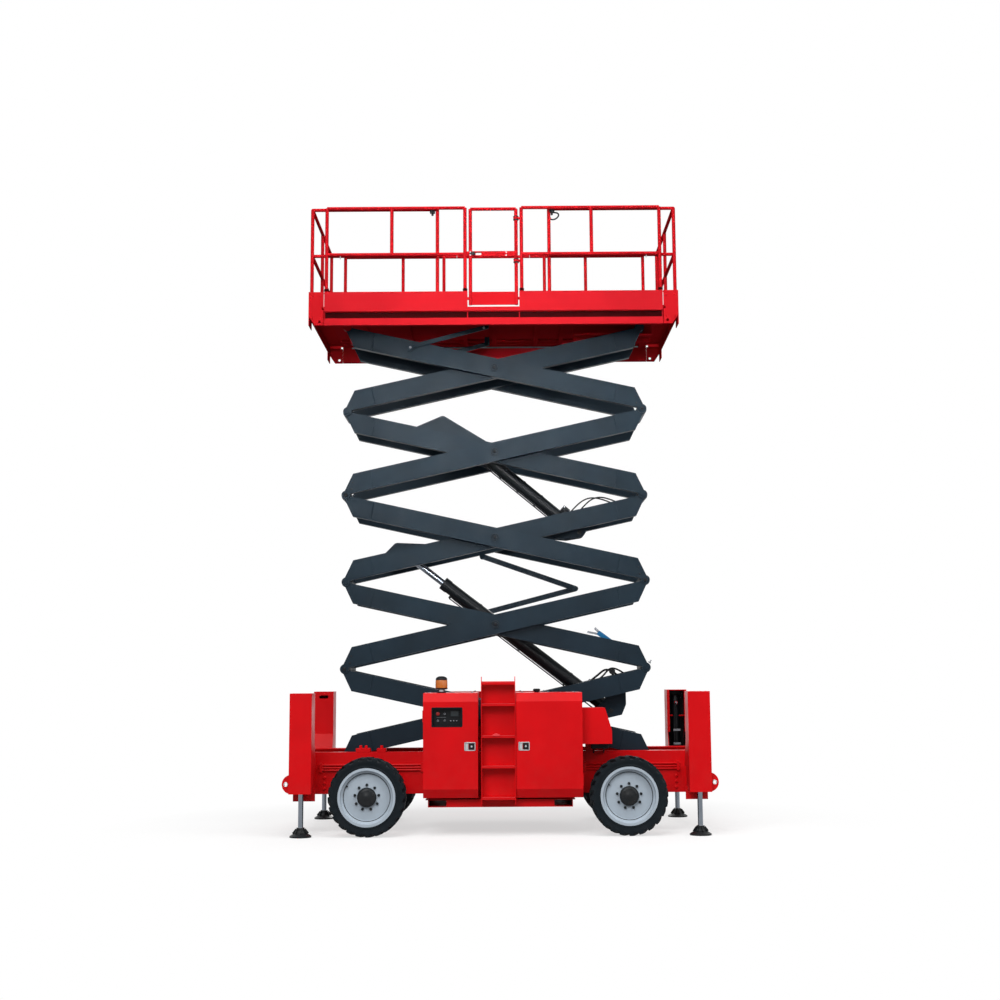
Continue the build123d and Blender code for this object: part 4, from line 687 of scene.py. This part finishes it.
# %% Pin heads and weld beads
for stage in range(1, 6):
    for plane, face in (("outer", 0.43), ("inner", 0.335)):
        body = f"arm_{stage}_{plane}"
        beads, heads, rings = [], [], []
        for side in (-1, 1):
            for along in (-weld_at, weld_at):
                ends = [on_arm(plane, stage, along, over, side * face) for over in (-bead_reach, bead_reach)]
                beads.append(carried(np.linspace(*ends, 8), 0.0035, 8, (0, 1, 0)))
            if plane == "outer":
                centre = on_arm(plane, stage, 0, 0, side * 0.4415)
                rings.append(hoop(centre, (0, side, 0), 0.036, 0.004, 40))
                heads.append(bolt(centre, (0, side, 0), 0.016))
                axis, end_y, beam_y = (0, side, 0), side * 0.4395, side * (face - 0.0005)
            else:
                axis, end_y, beam_y = (0, -side, 0), side * 0.2405, side * 0.2505
            if (plane, stage) != ("outer", 1):
                pin = on_arm(plane, stage, -half_beam, -pin_offset, end_y)
                rings.append(hoop(pin, axis, 0.017, 0.004, 32))
                heads.append(bolt(pin, axis, 0.009))
                for along, over, size in ((0.075, -0.062, 0.008), (0.105, 0.01, 0.007)):
                    heads.append(bolt(on_arm(plane, stage, along - half_beam, over, beam_y), axis, size))
        piece(f"weld_beads_{stage}_{plane}", beads, arm_paint, body)
        piece(f"pin_bolts_{stage}_{plane}", heads, casting, body)
        piece(f"pin_rings_{stage}_{plane}", rings, black_paint, body)
print("pin heads made for", stage, "stages")

# %% [markdown]
# ## Lift cylinders
# Oil reaches the rod end of each cylinder through steel pipes clamped along the barrel. A pipe is a circle
# carried along a path that dips into the barrel at both ends. The hose-burst valve is a machined block.

# %% Pipes, clamps and valve blocks on the barrels
for which, radius, spread, length, block_along in (
        ("lower", 0.07, 0.022, 2.24, 0.36), ("upper", 0.065, 0.02, 1.46, 0.29)):
    foot = np.array(joints[f"{which}_barrel_pin"]["pos_m"]) * [1, 0, 1]
    run = unit(joints[f"{which}_rod_slide"]["axis"])
    run = run if run[2] > 0 else -run
    under = np.array([-run[2], 0, run[0]])
    under = under if under[2] < 0 else -under
    body, rest = f"{which}_barrel", radius + 0.007
    stations = [(0.26, radius - 0.03), (0.26, radius - 0.002), (0.28, rest), (0.4, rest)]
    stations += [(s, rest) for s in np.linspace(0.5, length - 0.15, 6)]
    stations += [(length - 0.03, rest), (length, radius - 0.002), (length, radius - 0.03)]
    runs = [
        pipe([foot + s * run + h * under + [0, y, 0] for s, h in stations], 0.0085, count=70)
        for y in (-spread, spread)]
    piece(f"oil_pipes_{which}", runs, black_paint, body)
    places = [foot + s * run for s in np.linspace(0.6, length - 0.35, 3)]
    clamps = [band(place, run, radius + 0.002, radius + 0.0045, 0.014, 0.012, 40) for place in places]
    tops, half_clamp = [place + (radius + 0.016) * under for place in places], np.array([0, 0.036, 0])
    clamps += [bar(top - half_clamp, top + half_clamp, 0.026, 0.012, under) for top in tops]
    piece(f"pipe_clamps_{which}", clamps, black_paint, body)
    block_at = foot + block_along * run - (radius + 0.032) * under

    def on_block(s, h, y):
        """A point on the valve block, along and across the barrel."""
        return block_at + [0, y, 0] + s * run + h * under

    block = bar(block_at - 0.045 * run, block_at + 0.045 * run, 0.08, 0.07, to_near, 0.005)
    ports = [
        turned([(0.014, -0.01), (0.014, 0.016), (0.011, 0.02)], on_block(s, h, -0.035), to_near, 6)
        for s, h in ((-0.022, -0.016), (0.022, 0.016))]
    piece(f"valve_block_{which}", [block, *ports], casting, body)
    plugs = bolts([on_block(0.03, -0.026, -0.0345), on_block(-0.03, 0.026, -0.0345)], to_near, 0.007)
    piece(f"valve_plugs_{which}", plugs, zinc, body)
print("barrels dressed")

# %% [markdown]
# ## Hoses and the service prop
# Hoses that pass along an arm are held in clips, so a short arch stands up between two clips and never hangs
# free. The blue service prop folds onto the arm above the lowest joint, with two steel prongs at its end.

# %% Hose arches and their clips
def hose_arch(name, plane, stage, radius, y, alongs, overs):
    """A hose along an arm's inner face: its corners are given along and across the arm."""
    corners = [on_arm(plane, stage, a, o, y) for a, o in zip(alongs, overs)]
    body, feet = f"arm_{stage}_{plane}", ((alongs[0], overs[0]), (alongs[-1], overs[-1]))
    piece(name, pipe(corners, radius, count=48), hose_rubber, body)
    clips = [
        bar(on_arm(plane, stage, a, o - 0.014, y), on_arm(plane, stage, a, o + 0.014, y), 0.022, 0.03)
        for a, o in feet]
    wall_y = math.copysign(0.251, y)
    clips += [
        bar(on_arm(plane, stage, a, o, y), on_arm(plane, stage, a, o, wall_y), 0.018, 0.008, to_sky)
        for a, o in feet]
    piece(f"{name}_clips", clips, black_plastic, body)


hose_arch(
    "hose_high_a", "inner", 3, 0.008, -0.205, (0.8, 0.9, 1.02, 1.16, 1.32, 1.46),
    (0.06, 0.1, 0.19, 0.235, 0.16, 0.05))
hose_arch(
    "hose_high_b", "inner", 3, 0.008, -0.225, (0.93, 1.03, 1.14, 1.26, 1.4, 1.52),
    (0.05, 0.11, 0.19, 0.215, 0.14, 0.04))
hose_arch(
    "hose_low_a", "inner", 1, 0.012, -0.15, (1.02, 1.12, 1.22, 1.3, 1.38, 1.46),
    (0.04, 0.11, 0.15, 0.2, 0.16, 0.05))
hose_arch(
    "hose_low_b", "inner", 1, 0.01, -0.175, (1.1, 1.18, 1.28, 1.36, 1.46, 1.55),
    (0.04, 0.09, 0.13, 0.21, 0.15, 0.04))


def by_union(over, y):
    """A point beside the hose union of the lowest inner arm."""
    return on_arm("inner", 1, 1.375, over, y)


hub = by_union(0.155, -0.165)
union_parts = [
    band(hub, to_near, 0.03, 0.034, 0.03, 0.026, 28),
    turned([(0.014, 0.02), (0.014, 0.036), (0.01, 0.04)], hub, to_near, 6),
    bar(hub, by_union(0.04, -0.165), 0.03, 0.02),
    bar(by_union(0.05, -0.155), by_union(0.05, -0.251), 0.03, 0.012, to_sky)]
piece("hose_union", union_parts, black_paint, "arm_1_inner")

# %% Service prop
prop_y, zerk_y = -0.222, -0.2925
root, tip = np.array([1.3, prop_y, 2.004]), np.array([1.108, prop_y, 2.146])
prop = [bar(root, tip, 0.052, 0.034, corner=0.01), turned([(0.024, -0.018), (0.024, 0.018)], root, to_near, 28)]
piece("service_prop", prop, blue_plastic, "arm_2_inner", "panel")
clip_mid, half_clip = root + 0.45 * (tip - root) + np.array([-0.022, 0, -0.03]), 0.045 * unit(tip - root)
clip = [
    bar(clip_mid - half_clip, clip_mid + half_clip, 0.02, 0.036),
    bar((1.275, prop_y, 2.0), (1.275, -0.251, 2.0), 0.05, 0.03, to_sky),
    bolt(root + [0, -0.018, 0], to_near, 0.01)]
piece("prop_clip", clip, black_paint, "arm_2_inner")
prongs = [
    bar(tip + [0.01, 0, 0.004], (1.072, prop_y, 2.196), 0.026, 0.016),
    bar(tip + [0.01, 0, -0.02], (1.0, prop_y, 2.15), 0.022, 0.016),
    turned([(0.013, -0.011), (0.013, 0.011)], (1.0, prop_y, 2.15), to_near, 20)]
piece("prop_prongs", prongs, steel, "arm_2_inner", "cast")
nipple_path = [(1.676, zerk_y, 1.806), (1.688, zerk_y, 1.822), (1.697, zerk_y, 1.834)]
nipple = [bolt(nipple_path[0], (0.6, 0, 0.8), 0.013), pipe(nipple_path, 0.006, count=8)]
piece("grease_nipple", nipple, steel, "arm_2_inner", "cast")

# %% Link bars under the platform
for name, side in both_sides:
    y, axis = side * 0.463, (0, side, 0)
    link = [
        slab((-1.002, y, 5.396), (0.078, 0.066, 0.016), axis, 0.006, 0.002),
        bar((-1.0, y, 5.392), (-0.12, y, 5.622), 0.05, 0.014),
        band((-1.0, y, 5.385), axis, 0.04, 0.043, 0.012, 0.009, 32),
        bar((-0.132, y, 5.6), (-0.132, y, 5.7035), 0.06, 0.014)]
    piece(f"link_bar_{name}", link, arm_paint, "platform")
    spots = [
        (x, y + side * out, z)
        for x, out, z in ((-1.0, 0.012, 5.385), (-0.16, 0.007, 5.612), (-0.132, 0.007, 5.68))]
    piece(f"link_bolt_{name}", bolts(spots, axis, 0.011), steel, "platform", "cast")
print("hoses, prop and link bars made")

# %% [markdown]
# ## Cabinets
# Each door closes with a flush paddle latch: a bright frame set in the skin, with a black paddle. Behind the
# window are the ground controls: a red stop button, a key switch, a display and toggles on a black panel.

# %% Latches and window
latches = {
    "rear_near": (-0.319, -1), "front_near": (0.254, -1), "rear_far": (-0.071, 1), "front_far": (0.131, 1)}
latch_z, skin_y = 0.93, 1.15
for name, (x, side) in latches.items():
    axis = (0, side, 0)

    def on_skin(dx, out, dz=0.0):
        """A point beside the middle of the latch, out from the skin of the door."""
        return x + dx, side * (skin_y + out), latch_z + dz

    latch_frame = [
        bar(on_skin(-0.059, -0.003, dz), on_skin(0.059, -0.003, dz), 0.01, 0.012, axis, 0.003)
        for dz in (-0.04, 0.04)]
    latch_frame += [
        bar(on_skin(dx, -0.003, -0.044), on_skin(dx, -0.003, 0.044), 0.011, 0.012, axis, 0.003)
        for dx in (-0.054, 0.054)]
    latch_frame.append(slab(on_skin(-0.031, -0.006), (0.034, 0.066, 0.008), axis, 0.004))
    piece(f"latch_frame_{name}", latch_frame, zinc, f"door_{name}")
    paddle = slab(on_skin(0.018, -0.001), (0.058, 0.062, 0.01), axis, 0.006, 0.003)
    piece(f"latch_paddle_{name}", paddle, black_plastic, f"door_{name}")
    lock = turned([(0.01, 0), (0.01, 0.005), (0.008, 0.0065)], on_skin(0.018, 0.003), axis, 24)
    key_slot = slab(on_skin(0.018, 0.0098), (0.003, 0.012, 0.001), axis, 0.0008, 0.0002)
    piece(f"latch_lock_{name}", [lock, key_slot], zinc, f"door_{name}")

window_x, window_z, seal_y = (-0.72, -0.402), (1.139, 1.334), -1.1495
seal = [bar((window_x[0], seal_y, z), (window_x[1], seal_y, z), 0.012, 0.006, corner=0.003) for z in window_z]
seal += [bar((x, seal_y, window_z[0]), (x, seal_y, window_z[1]), 0.012, 0.006, corner=0.003) for x in window_x]
piece("window_seal", seal, rubber, "door_rear_near")


# %% Ground controls
def behind_glass(across, up, y):
    """A point on the controls: a share of the window's width, a share of its height, and y."""
    x, z = [low + share * (high - low) for share, (low, high) in ((across, window_x), (up, window_z))]
    return np.array([x, y, z])


button = [
    (0.01, -0.01), (0.01, 0.004), (0.018, 0.006), (0.0205, 0.012), (0.018, 0.018), (0.01, 0.021), (0, 0.022)]
mushroom = turned(button, behind_glass(0.19, 0.68, -1.1), to_near, 32)
piece("stop_button", mushroom, signal_red, "chassis", "panel")
keys = ((0.42, 0.68), (0.19, 0.3), (0.42, 0.3))
toggle = [(0.006, 0), (0.005, 0.012), (0.0065, 0.02), (0, 0.024)]
switches = [hoop(behind_glass(*key, -1.1), to_near, 0.01, 0.002, 32) for key in keys]
slots = [behind_glass(*key, -1.101) for key in keys]
switches += [bar(slot - [0, 0, 0.008], slot + [0.004, 0, 0.008], 0.004, 0.01) for slot in slots]
switches += [turned(toggle, behind_glass(across, 0.3, -1.082), to_near, 16) for across in (0.62, 0.72, 0.82)]
switches.append(slab(behind_glass(0.3, 0.49, -1.0805), (0.1, 0.003, 0.003), to_near, 0.001, 0.0005))
piece("key_switches", switches, steel, "chassis")
screen = slab(behind_glass(0.75, 0.68, -1.0895), (0.084, 0.054, 0.003), to_near, 0.004, 0.001)
piece("display", screen, display_glass, "chassis", "panel")
screws = bolts(
    [behind_glass(across, up, -1.08) for across in (0.03, 0.95) for up in (0.06, 0.94)], to_near, 0.005)
piece("panel_screws", screws, dark_paint, "chassis")

# %% Louvre hoods, filler cap and the pump motor
hoods = [
    bar((-0.68, 1.153, z), (-0.36, 1.153, z), 0.02, 0.012, (0, 1, 0.35), 0.005)
    for z in 0.648 + 0.062 * np.arange(9)]
piece("louvre_hoods", hoods, red_paint, "door_rear_far")
cap_x, cap_y, cap_radius, lid_z = 0.395, -0.96, 0.036, 1.4895
cap_profile = [
    (0.024, 0), (0.024, 0.012), (0.036, 0.014), (0.038, 0.02), (0.037, 0.034), (0.03, 0.04), (0, 0.041)]
grips = [[(cap_x + cap_radius * c, cap_y + cap_radius * s, z) for z in (1.508, 1.524)] for c, s in circle(10)]
grip_bars = [bar(*ends, 0.004, 0.005, (c, s, 0), 0.001) for ends, (c, s) in zip(grips, circle(10))]
cap = turned(cap_profile, (cap_x, cap_y, lid_z), to_sky, 24)
piece("filler_cap", [cap, *grip_bars], black_plastic, "chassis")
motor_profile = [
    (0.034, 0), (0.043, 0.008), (0.043, 0.03), (0.04, 0.034), (0.04, 0.15), (0.043, 0.154), (0.043, 0.18),
    (0.036, 0.19), (0.018, 0.196), (0.018, 0.214), (0, 0.216)]
feet = [bar((x, -0.8, 0.925), (x, -0.56, 0.84), 0.036, 0.01, to_front) for x in (1.02, 1.13)]
piece("pump_motor", [turned(motor_profile, (0.98, -0.8, 0.925), to_front, 36), *feet], casting, "chassis")
spots = [(x, side * y, lid_z) for side in (-1, 1) for x in (0.24, 0.52, 0.8, -0.76, -0.3) for y in (0.66, 1.02)]
piece("lid_bolts", bolts(spots, to_sky, 0.008), steel, "chassis")
print("cabinets dressed")

# %% [markdown]
# ## Beacon and ladder
# The beacon's lens is ribbed so that its flash spreads. Its radius ripples with the angle, a wave added to the
# turned profile. Each of the ladder's step edges carries a slender strip of painted highlight in a brighter
# red.

# %% Beacon
low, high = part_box("beacon")
beacon_at = np.array([(low[0] + high[0]) / 2, (low[1] + high[1]) / 2, low[2]])


def ribbed(profile, origin, around=96, ribs=24, depth=0.0012):
    """A turned profile whose radius rises and falls with the angle: radius + depth * cos(ribs * angle)."""
    points, faces = turned(profile, origin, to_sky, around)
    flat = points[:, :2] - origin[:2]
    grow = 1 + depth * np.cos(ribs * np.arctan2(flat[:, 1], flat[:, 0])) / np.maximum(np.hypot(*flat.T), 0.02)
    points[:, :2] = origin[:2] + flat * grow[:, None]
    return points, faces


lens_profile = [
    (0.058, 0.046), (0.0625, 0.052), (0.064, 0.064), (0.0625, 0.067), (0.064, 0.08), (0.0625, 0.083),
    (0.064, 0.096), (0.0625, 0.099), (0.0635, 0.112), (0.062, 0.115), (0.062, 0.13), (0.058, 0.14)]
lens_piece = piece("beacon_lens", ribbed(lens_profile, beacon_at), amber, "chassis", "amber", 50)
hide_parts("beacon")
foot_profile = [
    (0.052, 0), (0.052, 0.006), (0.046, 0.012), (0.034, 0.014), (0.034, 0.034), (0.062, 0.038), (0.0665, 0.043),
    (0.0665, 0.05), (0.06, 0.053)]
cap_profile = [(0.06, 0.136), (0.0625, 0.14), (0.061, 0.152), (0.05, 0.166), (0.028, 0.1755), (0, 0.178)]
base = [turned(profile, beacon_at, to_sky, 40) for profile in (foot_profile, cap_profile)]
piece("beacon_base", base, black_plastic, "chassis")
collar = turned([(0.03, 0.015), (0.03, 0.033)], beacon_at - [0, 0.006, 0], to_sky, 24)
piece("beacon_collar", collar, zinc, "chassis")

# %% Ladder step edges
# A brighter red: a painted highlight along the step edges and on the step hook.
highlight_paint = sprayed("highlight_red", (0.8, 0.055, 0.065), rough=0.45, dust=0.0)
strips = [
    slab((-0.0175, -1.1705, z + 0.0015), (0.345, 0.0035, 0.006), to_near, 0.0015, 0.0006)
    for z in (0.4, 0.725, 1.04, 1.373, 1.596)]
piece("step_edges", strips, highlight_paint, "chassis")
hook_path = [
    (-0.06, -1.168, 1.04), (-0.062, -1.176, 1.058), (-0.04, -1.177, 1.066), (-0.018, -1.176, 1.058),
    (-0.02, -1.168, 1.04)]
hook = [
    bar((-0.078, -1.174, 1.047), (-0.002, -1.174, 1.047), 0.02, 0.01, corner=0.004),
    pipe(hook_path, 0.004, count=24, around=8)]
piece("step_hook", hook, highlight_paint, "chassis")
print("beacon and ladder dressed")

# %% [markdown]
# ## Outriggers
# Bolts hold each outrigger to the end beam. Pipes run from the end beam to the leg's cylinder inside the
# channel, and a seal ring and a bright collar mark both ends of each rod.

# %% Bolts, pipes, seals and collars
leg_x, leg_y, cover_y, pipe_y, shaft_z = 2.105, 1.1, 0.93, 0.985, 1.095
for end_name, end in both_ends:
    for side_name, side in both_sides:
        x, y, tag = end * leg_x, side * leg_y, f"{end_name}_{side_name}"
        inward = (0, -side, 0)
        spots = [(x + s * 0.096, side * (cover_y + 0.0005), z) for s in (-1, 1) for z in (0.515, 0.59, 0.665)]
        piece(f"outrigger_bolts_{tag}", bolts(spots, inward, 0.009), red_paint, "chassis")
        if end > 0:
            # A black sleeve on the leg's cylinder and black sheets on the channel's walls: painted shade for
            # the dark inside of the front channels.
            sleeve = turned(
                [(0.0485, 0.62), (0.05, 0.625), (0.05, 1.425), (0.046, 1.432), (0.029, 1.433)], (x, y, 0),
                to_sky, 40)
            walls = [
                slab((x + s * 0.108, side * 1.075, shaft_z), (0.265, 0.77, 0.002), (-s, 0, 0), 0.004, 0.0004)
                for s in (-1, 1)]
            walls.append(slab((x, side * 1.2105, shaft_z), (0.212, 0.77, 0.002), inward, 0.004, 0.0004))
            piece(f"channel_liner_{tag}", [sleeve, *walls], black_plastic, "chassis")
        runs = []
        for z, dx, bend_z in ((1.34, -0.03, 0.8), (0.72, 0.03, 0.7)):
            corners = [(0, 1.03, z), (0, 1.0, z), (dx * 0.6, pipe_y, z - 0.03), (dx, pipe_y, z - 0.12)]
            corners += [(dx, pipe_y, (z + 0.76) / 2), (dx, pipe_y, bend_z), (dx, 0.975, 0.64)]
            corners += [(dx, 0.955, 0.6), (dx, 0.925, 0.59)]
            runs.append(pipe([(x + a, side * b, c) for a, b, c in corners], 0.01, (1, 0.2, 0), 44))
        piece(f"leg_pipes_{tag}", runs, hose_rubber, "chassis")
        union = [(0.017, 0), (0.017, 0.014), (0.013, 0.018), (0.013, 0.026)]
        unions = [turned(union, (x, side * 1.017, z), inward, 6) for z in (1.34, 0.72)]
        unions += [slab((x, side * pipe_y, z), (0.085, 0.026, 0.024), inward, 0.004) for z in (1.02, 0.86)]
        piece(f"pipe_unions_{tag}", unions, steel, "chassis")
        seal = turned([(0.029, -0.004), (0.04, -0.004), (0.044, 0.001)], (x, y, 0.45), to_sky, 32)
        piece(f"leg_seal_{tag}", seal, black_paint, "chassis")
        collar = turned(
            [(0.036, 0), (0.036, 0.003), (0.033, 0.004), (0.0285, 0.004)], (x, y, 0.0995), to_sky, 32)
        piece(f"leg_collar_{tag}", collar, zinc, f"leg_{tag}")
        ribs = [
            bar(
                (x + 0.046 * c, y + 0.046 * s, 0.086), (x + 0.082 * c, y + 0.082 * s, 0.041), 0.018, 0.008,
                (-s, c, 0), 0.003)
            for c, s in circle(8, 0.2)]
        piece(f"pad_ribs_{tag}", ribs, black_paint, f"leg_{tag}")
        eye = [
            hoop((end * 2.258, side * eye_y, 0.55), (0, side, 0), 0.0205, 0.0045, 32)
            for eye_y in (1.1705, 1.1495)]
        piece(f"tie_ring_{tag}", eye, zinc, "chassis")
print("outriggers dressed")

# %% [markdown]
# ## Chassis
# Brake and steering pipes run along the outside of the frame in clips, behind the wheels, and were sprayed with
# it, so they are red. Big bolts hold the axle brackets. All of it rides on the chassis.

# %% Frame pipes, clips and bolts
frame_face, line_y, line_z, line_step, dip = 0.5595, 0.574, 0.716, 0.028, 0.004
for name, side in both_sides:
    axis, lines, clips = (0, side, 0), [], []
    for a, b in ((-1.98, -0.83), (0.9, 1.96)):
        xs = np.linspace(a, b, 9)
        hang = dip * np.abs(np.sin((xs - a) / (b - a) * 3 * math.pi))
        for j, share in enumerate((0.4, 1.0, 0.4)):
            zs = line_z - line_step * j - share * hang
            lines.append(pipe([(x, side * line_y, z) for x, z in zip(xs, zs)], 0.0105, count=80))
        for x in a + (b - a) * np.array([0.02, 1 / 3, 2 / 3, 0.98]):
            clips.append(slab((x, side * line_y, line_z - line_step), (0.028, 0.1, 0.03), axis, 0.005))
    piece(f"frame_hoses_{name}", lines, red_paint, "chassis")
    piece(f"hose_clips_{name}", clips, red_paint, "chassis")
    y = side * frame_face
    spots = [(x + dx, y, z) for x in (-1.407, 1.357) for dx in (-0.22, 0.22) for z in (0.5, 0.57)]
    spots += [(x, y, z) for x in (-1.92, 1.92) for z in (0.46, 0.52, 0.58)]
    piece(f"frame_bolts_{name}", bolts(spots, axis, 0.014), red_paint, "chassis")
valve_y = -0.512
blocks = [
    slab((x, valve_y, 0.872), (width, 0.04, 0.1), to_near, 0.006) for x, width in ((-1.5, 0.16), (-1.3, 0.1))]
blocks += [
    turned([(0.017, 0), (0.017, 0.03), (0.012, 0.034)], (x, valve_y, 0.888), to_sky, 20)
    for x in (-1.53, -1.47, -1.3)]
piece("brake_valves", blocks, red_paint, "chassis")
print("chassis dressed")

# %% [markdown]
# ## Platform
# The rails' posts stand in sockets with a dark gasket. Clamps under the top rail lock the slide-out decks.
# The gate has a latch at hand height, and the floor is tread plate, whose raised bars cross by turns.

# %% Gaskets, clamps and gate latch
near_y, far_y, gate_front_y = -1.036, 1.036, -1.058
posts = [(-1.902, near_y), (-0.36, near_y), (0.27, near_y), (1.812, near_y), (-1.902, far_y), (1.812, far_y)]
gaskets = [band((x, y, deck_top + 0.205), to_sky, 0.0225, 0.026, 0.014, 0.01, 24) for x, y in posts]
piece("post_gaskets", gaskets, shade_red, "platform")
for end, inner_x, outer_x, x in (("rear", -0.67, -2.072, -0.725), ("front", 0.58, 1.982, 0.615)):
    rings = [
        band((post_x, y, deck_top + 0.118), to_sky, 0.0265, 0.0285, 0.006, 0.003, 24)
        for post_x in (inner_x, outer_x) for y in (-rail_y, rail_y)]
    piece(f"socket_rings_{end}", rings, black_plastic, f"extension_{end}")
    clamp_z, knob = rail_top - 0.026, [(0.012, 0), (0.013, 0.004), (0.013, 0.02), (0.009, 0.026)]
    clamp = [
        bar((x - 0.03, -rail_y, clamp_z), (x + 0.03, -rail_y, clamp_z), 0.036, 0.044, corner=0.008),
        turned(knob, (x, -rail_y, clamp_z - 0.02), (0, 0, -1), 20)]
    piece(f"lock_clamp_{end}", clamp, black_paint, f"extension_{end}")
handle_path = [
    (0.6, 6.832), (0.625, 6.812), (0.672, 6.812), (0.694, 6.796), (0.69, 6.765), (0.655, 6.735), (0.615, 6.728),
    (0.59, 6.745), (0.585, 6.832)]
handle = pipe([(x, -rail_y, z) for x, z in handle_path], 0.0085, count=60)
piece("slide_handle", handle, black_plastic, "extension_front")
latch_knob = [(0.009, 0), (0.009, 0.018), (0.015, 0.022), (0.015, 0.034), (0, 0.038)]
latch_plate = slab((-0.278, gate_front_y + 0.0025, mid_rail), (0.062, 0.034, 0.008), to_near, 0.006)
latch_pin = turned(latch_knob, (-0.262, gate_front_y, mid_rail), to_near, 24)
piece("gate_latch", [latch_plate, latch_pin], black_plastic, "gate")
spots = [
    (x, y, mid_rail + s * dz) for x, y, dz in ((-0.3, -1.0585, 0.017), (0.1, -1.0485, 0.018)) for s in (-1, 1)]
piece("gate_bolts", bolts(spots, to_near, 0.006), zinc, "gate")
spots = [(-1.75, near_y), (-0.45, near_y), (0.36, near_y), (1.66, near_y), (-1.75, far_y), (1.66, far_y)]
eyes = [hoop((x, y, mid_rail - 0.034), to_front, 0.016, 0.003, 28) for x, y in spots]
piece("harness_eyes", eyes, zinc, "platform")
hinge_caps = [
    band((0.21, near_y, deck_top + h + dz), to_sky, 0.0295, 0.031, 0.005, 0.002, 28) for h in (0.52, 1.01)
    for dz in (-0.006, 0.0295)]
piece("hinge_caps", hinge_caps, black_plastic, "platform")

# %% Painted shade inside the side beams
for name, side in both_sides:
    # Dark red sheets on the recessed webs of the side beams: painted shade for the shadow under the toe board.
    strips = [
        slab(((a + b) / 2, side * 1.0262, 5.6275), (b - a, 0.074, 0.0018), (0, side, 0), 0.003, 0.0004)
        for a, b in ((-1.912, -0.338), (-0.326, 0.236), (0.248, 1.822))]
    piece(f"channel_primer_{name}", strips, shade_red, "platform")

# %% End plate bolts and pipes under the floor
for end, x, out in (("rear", -2.096, -1), ("front", 2.006, 1)):
    side_bolts = [
        bolt((x - out * dx, side * 1.0695, z), (0, side, 0), 0.009) for dx in (0.045, 0.135) for side in (-1, 1)
        for z in (5.84, 5.6)]
    piece(f"plate_bolts_{end}", side_bolts, rail_red, f"extension_{end}")
    spots = [(x, y, z) for y in (-0.95, -0.5, 0.5, 0.95) for z in (5.66, 5.83)]
    piece(f"end_bolts_{end}", bolts(spots, (out, 0, 0), 0.01), zinc, f"extension_{end}")
conduits = [
    pipe([(x, y, 5.669) for x in np.linspace(-1.8, 1.72, 8)], 0.0085, count=12)
    for y in (-0.93, -0.9, -0.87, 0.9)]
conduits += [
    slab((x, -0.9, 5.672), (0.03, 0.095, 0.016), (0, 0, -1), 0.004)
    for x in (-1.54, -1.04, -0.39, 0.455, 0.755)]
piece("floor_conduits", conduits, steel, "platform")

# %% Tread plate
def tread_finish(name):
    """Steel with rows of raised bars that turn a quarter from cell to cell: height from crossed sine waves."""
    material, tree, shader, where = new_finish(name)
    place = new_node(tree, "SeparateXYZ", {0: where}).outputs

    def wave(ax, ay):
        """The sine of ax * x + ay * y."""
        angle = product(tree, product(tree, place["X"], ax), product(tree, place["Y"], ay), "ADD")
        return new_node(tree, "Math", {0: angle}, operation="SINE").outputs[0]

    fine, coarse = 220.0, 73.3
    reliefs = []
    for way in (1, -1):
        bars = remap(tree, wave(fine, way * fine), 0.5, 0.9, 0, 1)
        cells = product(tree, wave(coarse, 0), wave(0, coarse))
        reliefs.append(product(tree, bars, remap(tree, cells, way * 0.1, way * 0.4, 0, 1)))
    relief = product(tree, *reliefs, "ADD")
    worn = remap(tree, noise(tree, where, 3.0, 5.0), 0.35, 0.65, 0, 1)
    ground = mix_colour(tree, worn, (0.05, 0.054, 0.058), (0.09, 0.094, 0.098))
    metal = mix_colour(tree, relief, ground, (0.26, 0.27, 0.28))
    gloss = remap(tree, relief, 0, 1, 0.62, 0.38)
    feed(tree, shader, {"Base Color": metal, "Metallic": 0.6, "Roughness": gloss})
    bump(tree, shader, relief, 0.8, 0.002)
    return material


tread_steel = tread_finish("tread_steel")
for end, a, b in (("rear", -2.04, -0.66), ("front", 0.57, 1.95)):
    plate = slab(((a + b) / 2, 0, 5.7392), (b - a, 1.88, 0.003), to_sky, 0.01, 0.0008)
    piece(f"tread_plate_{end}", plate, tread_steel, f"extension_{end}", "panel")
print("platform dressed; pieces made", len(made))


# %% Sizes, and the end
for name in made:
    heights = [corner[2] for corner in bpy.data.objects[name].bound_box]
    if min(heights) < -1e-5 or max(heights) > cad_box[1][2] - 1e-5:
        print("height of", name, round(min(heights), 5), round(max(heights), 5))
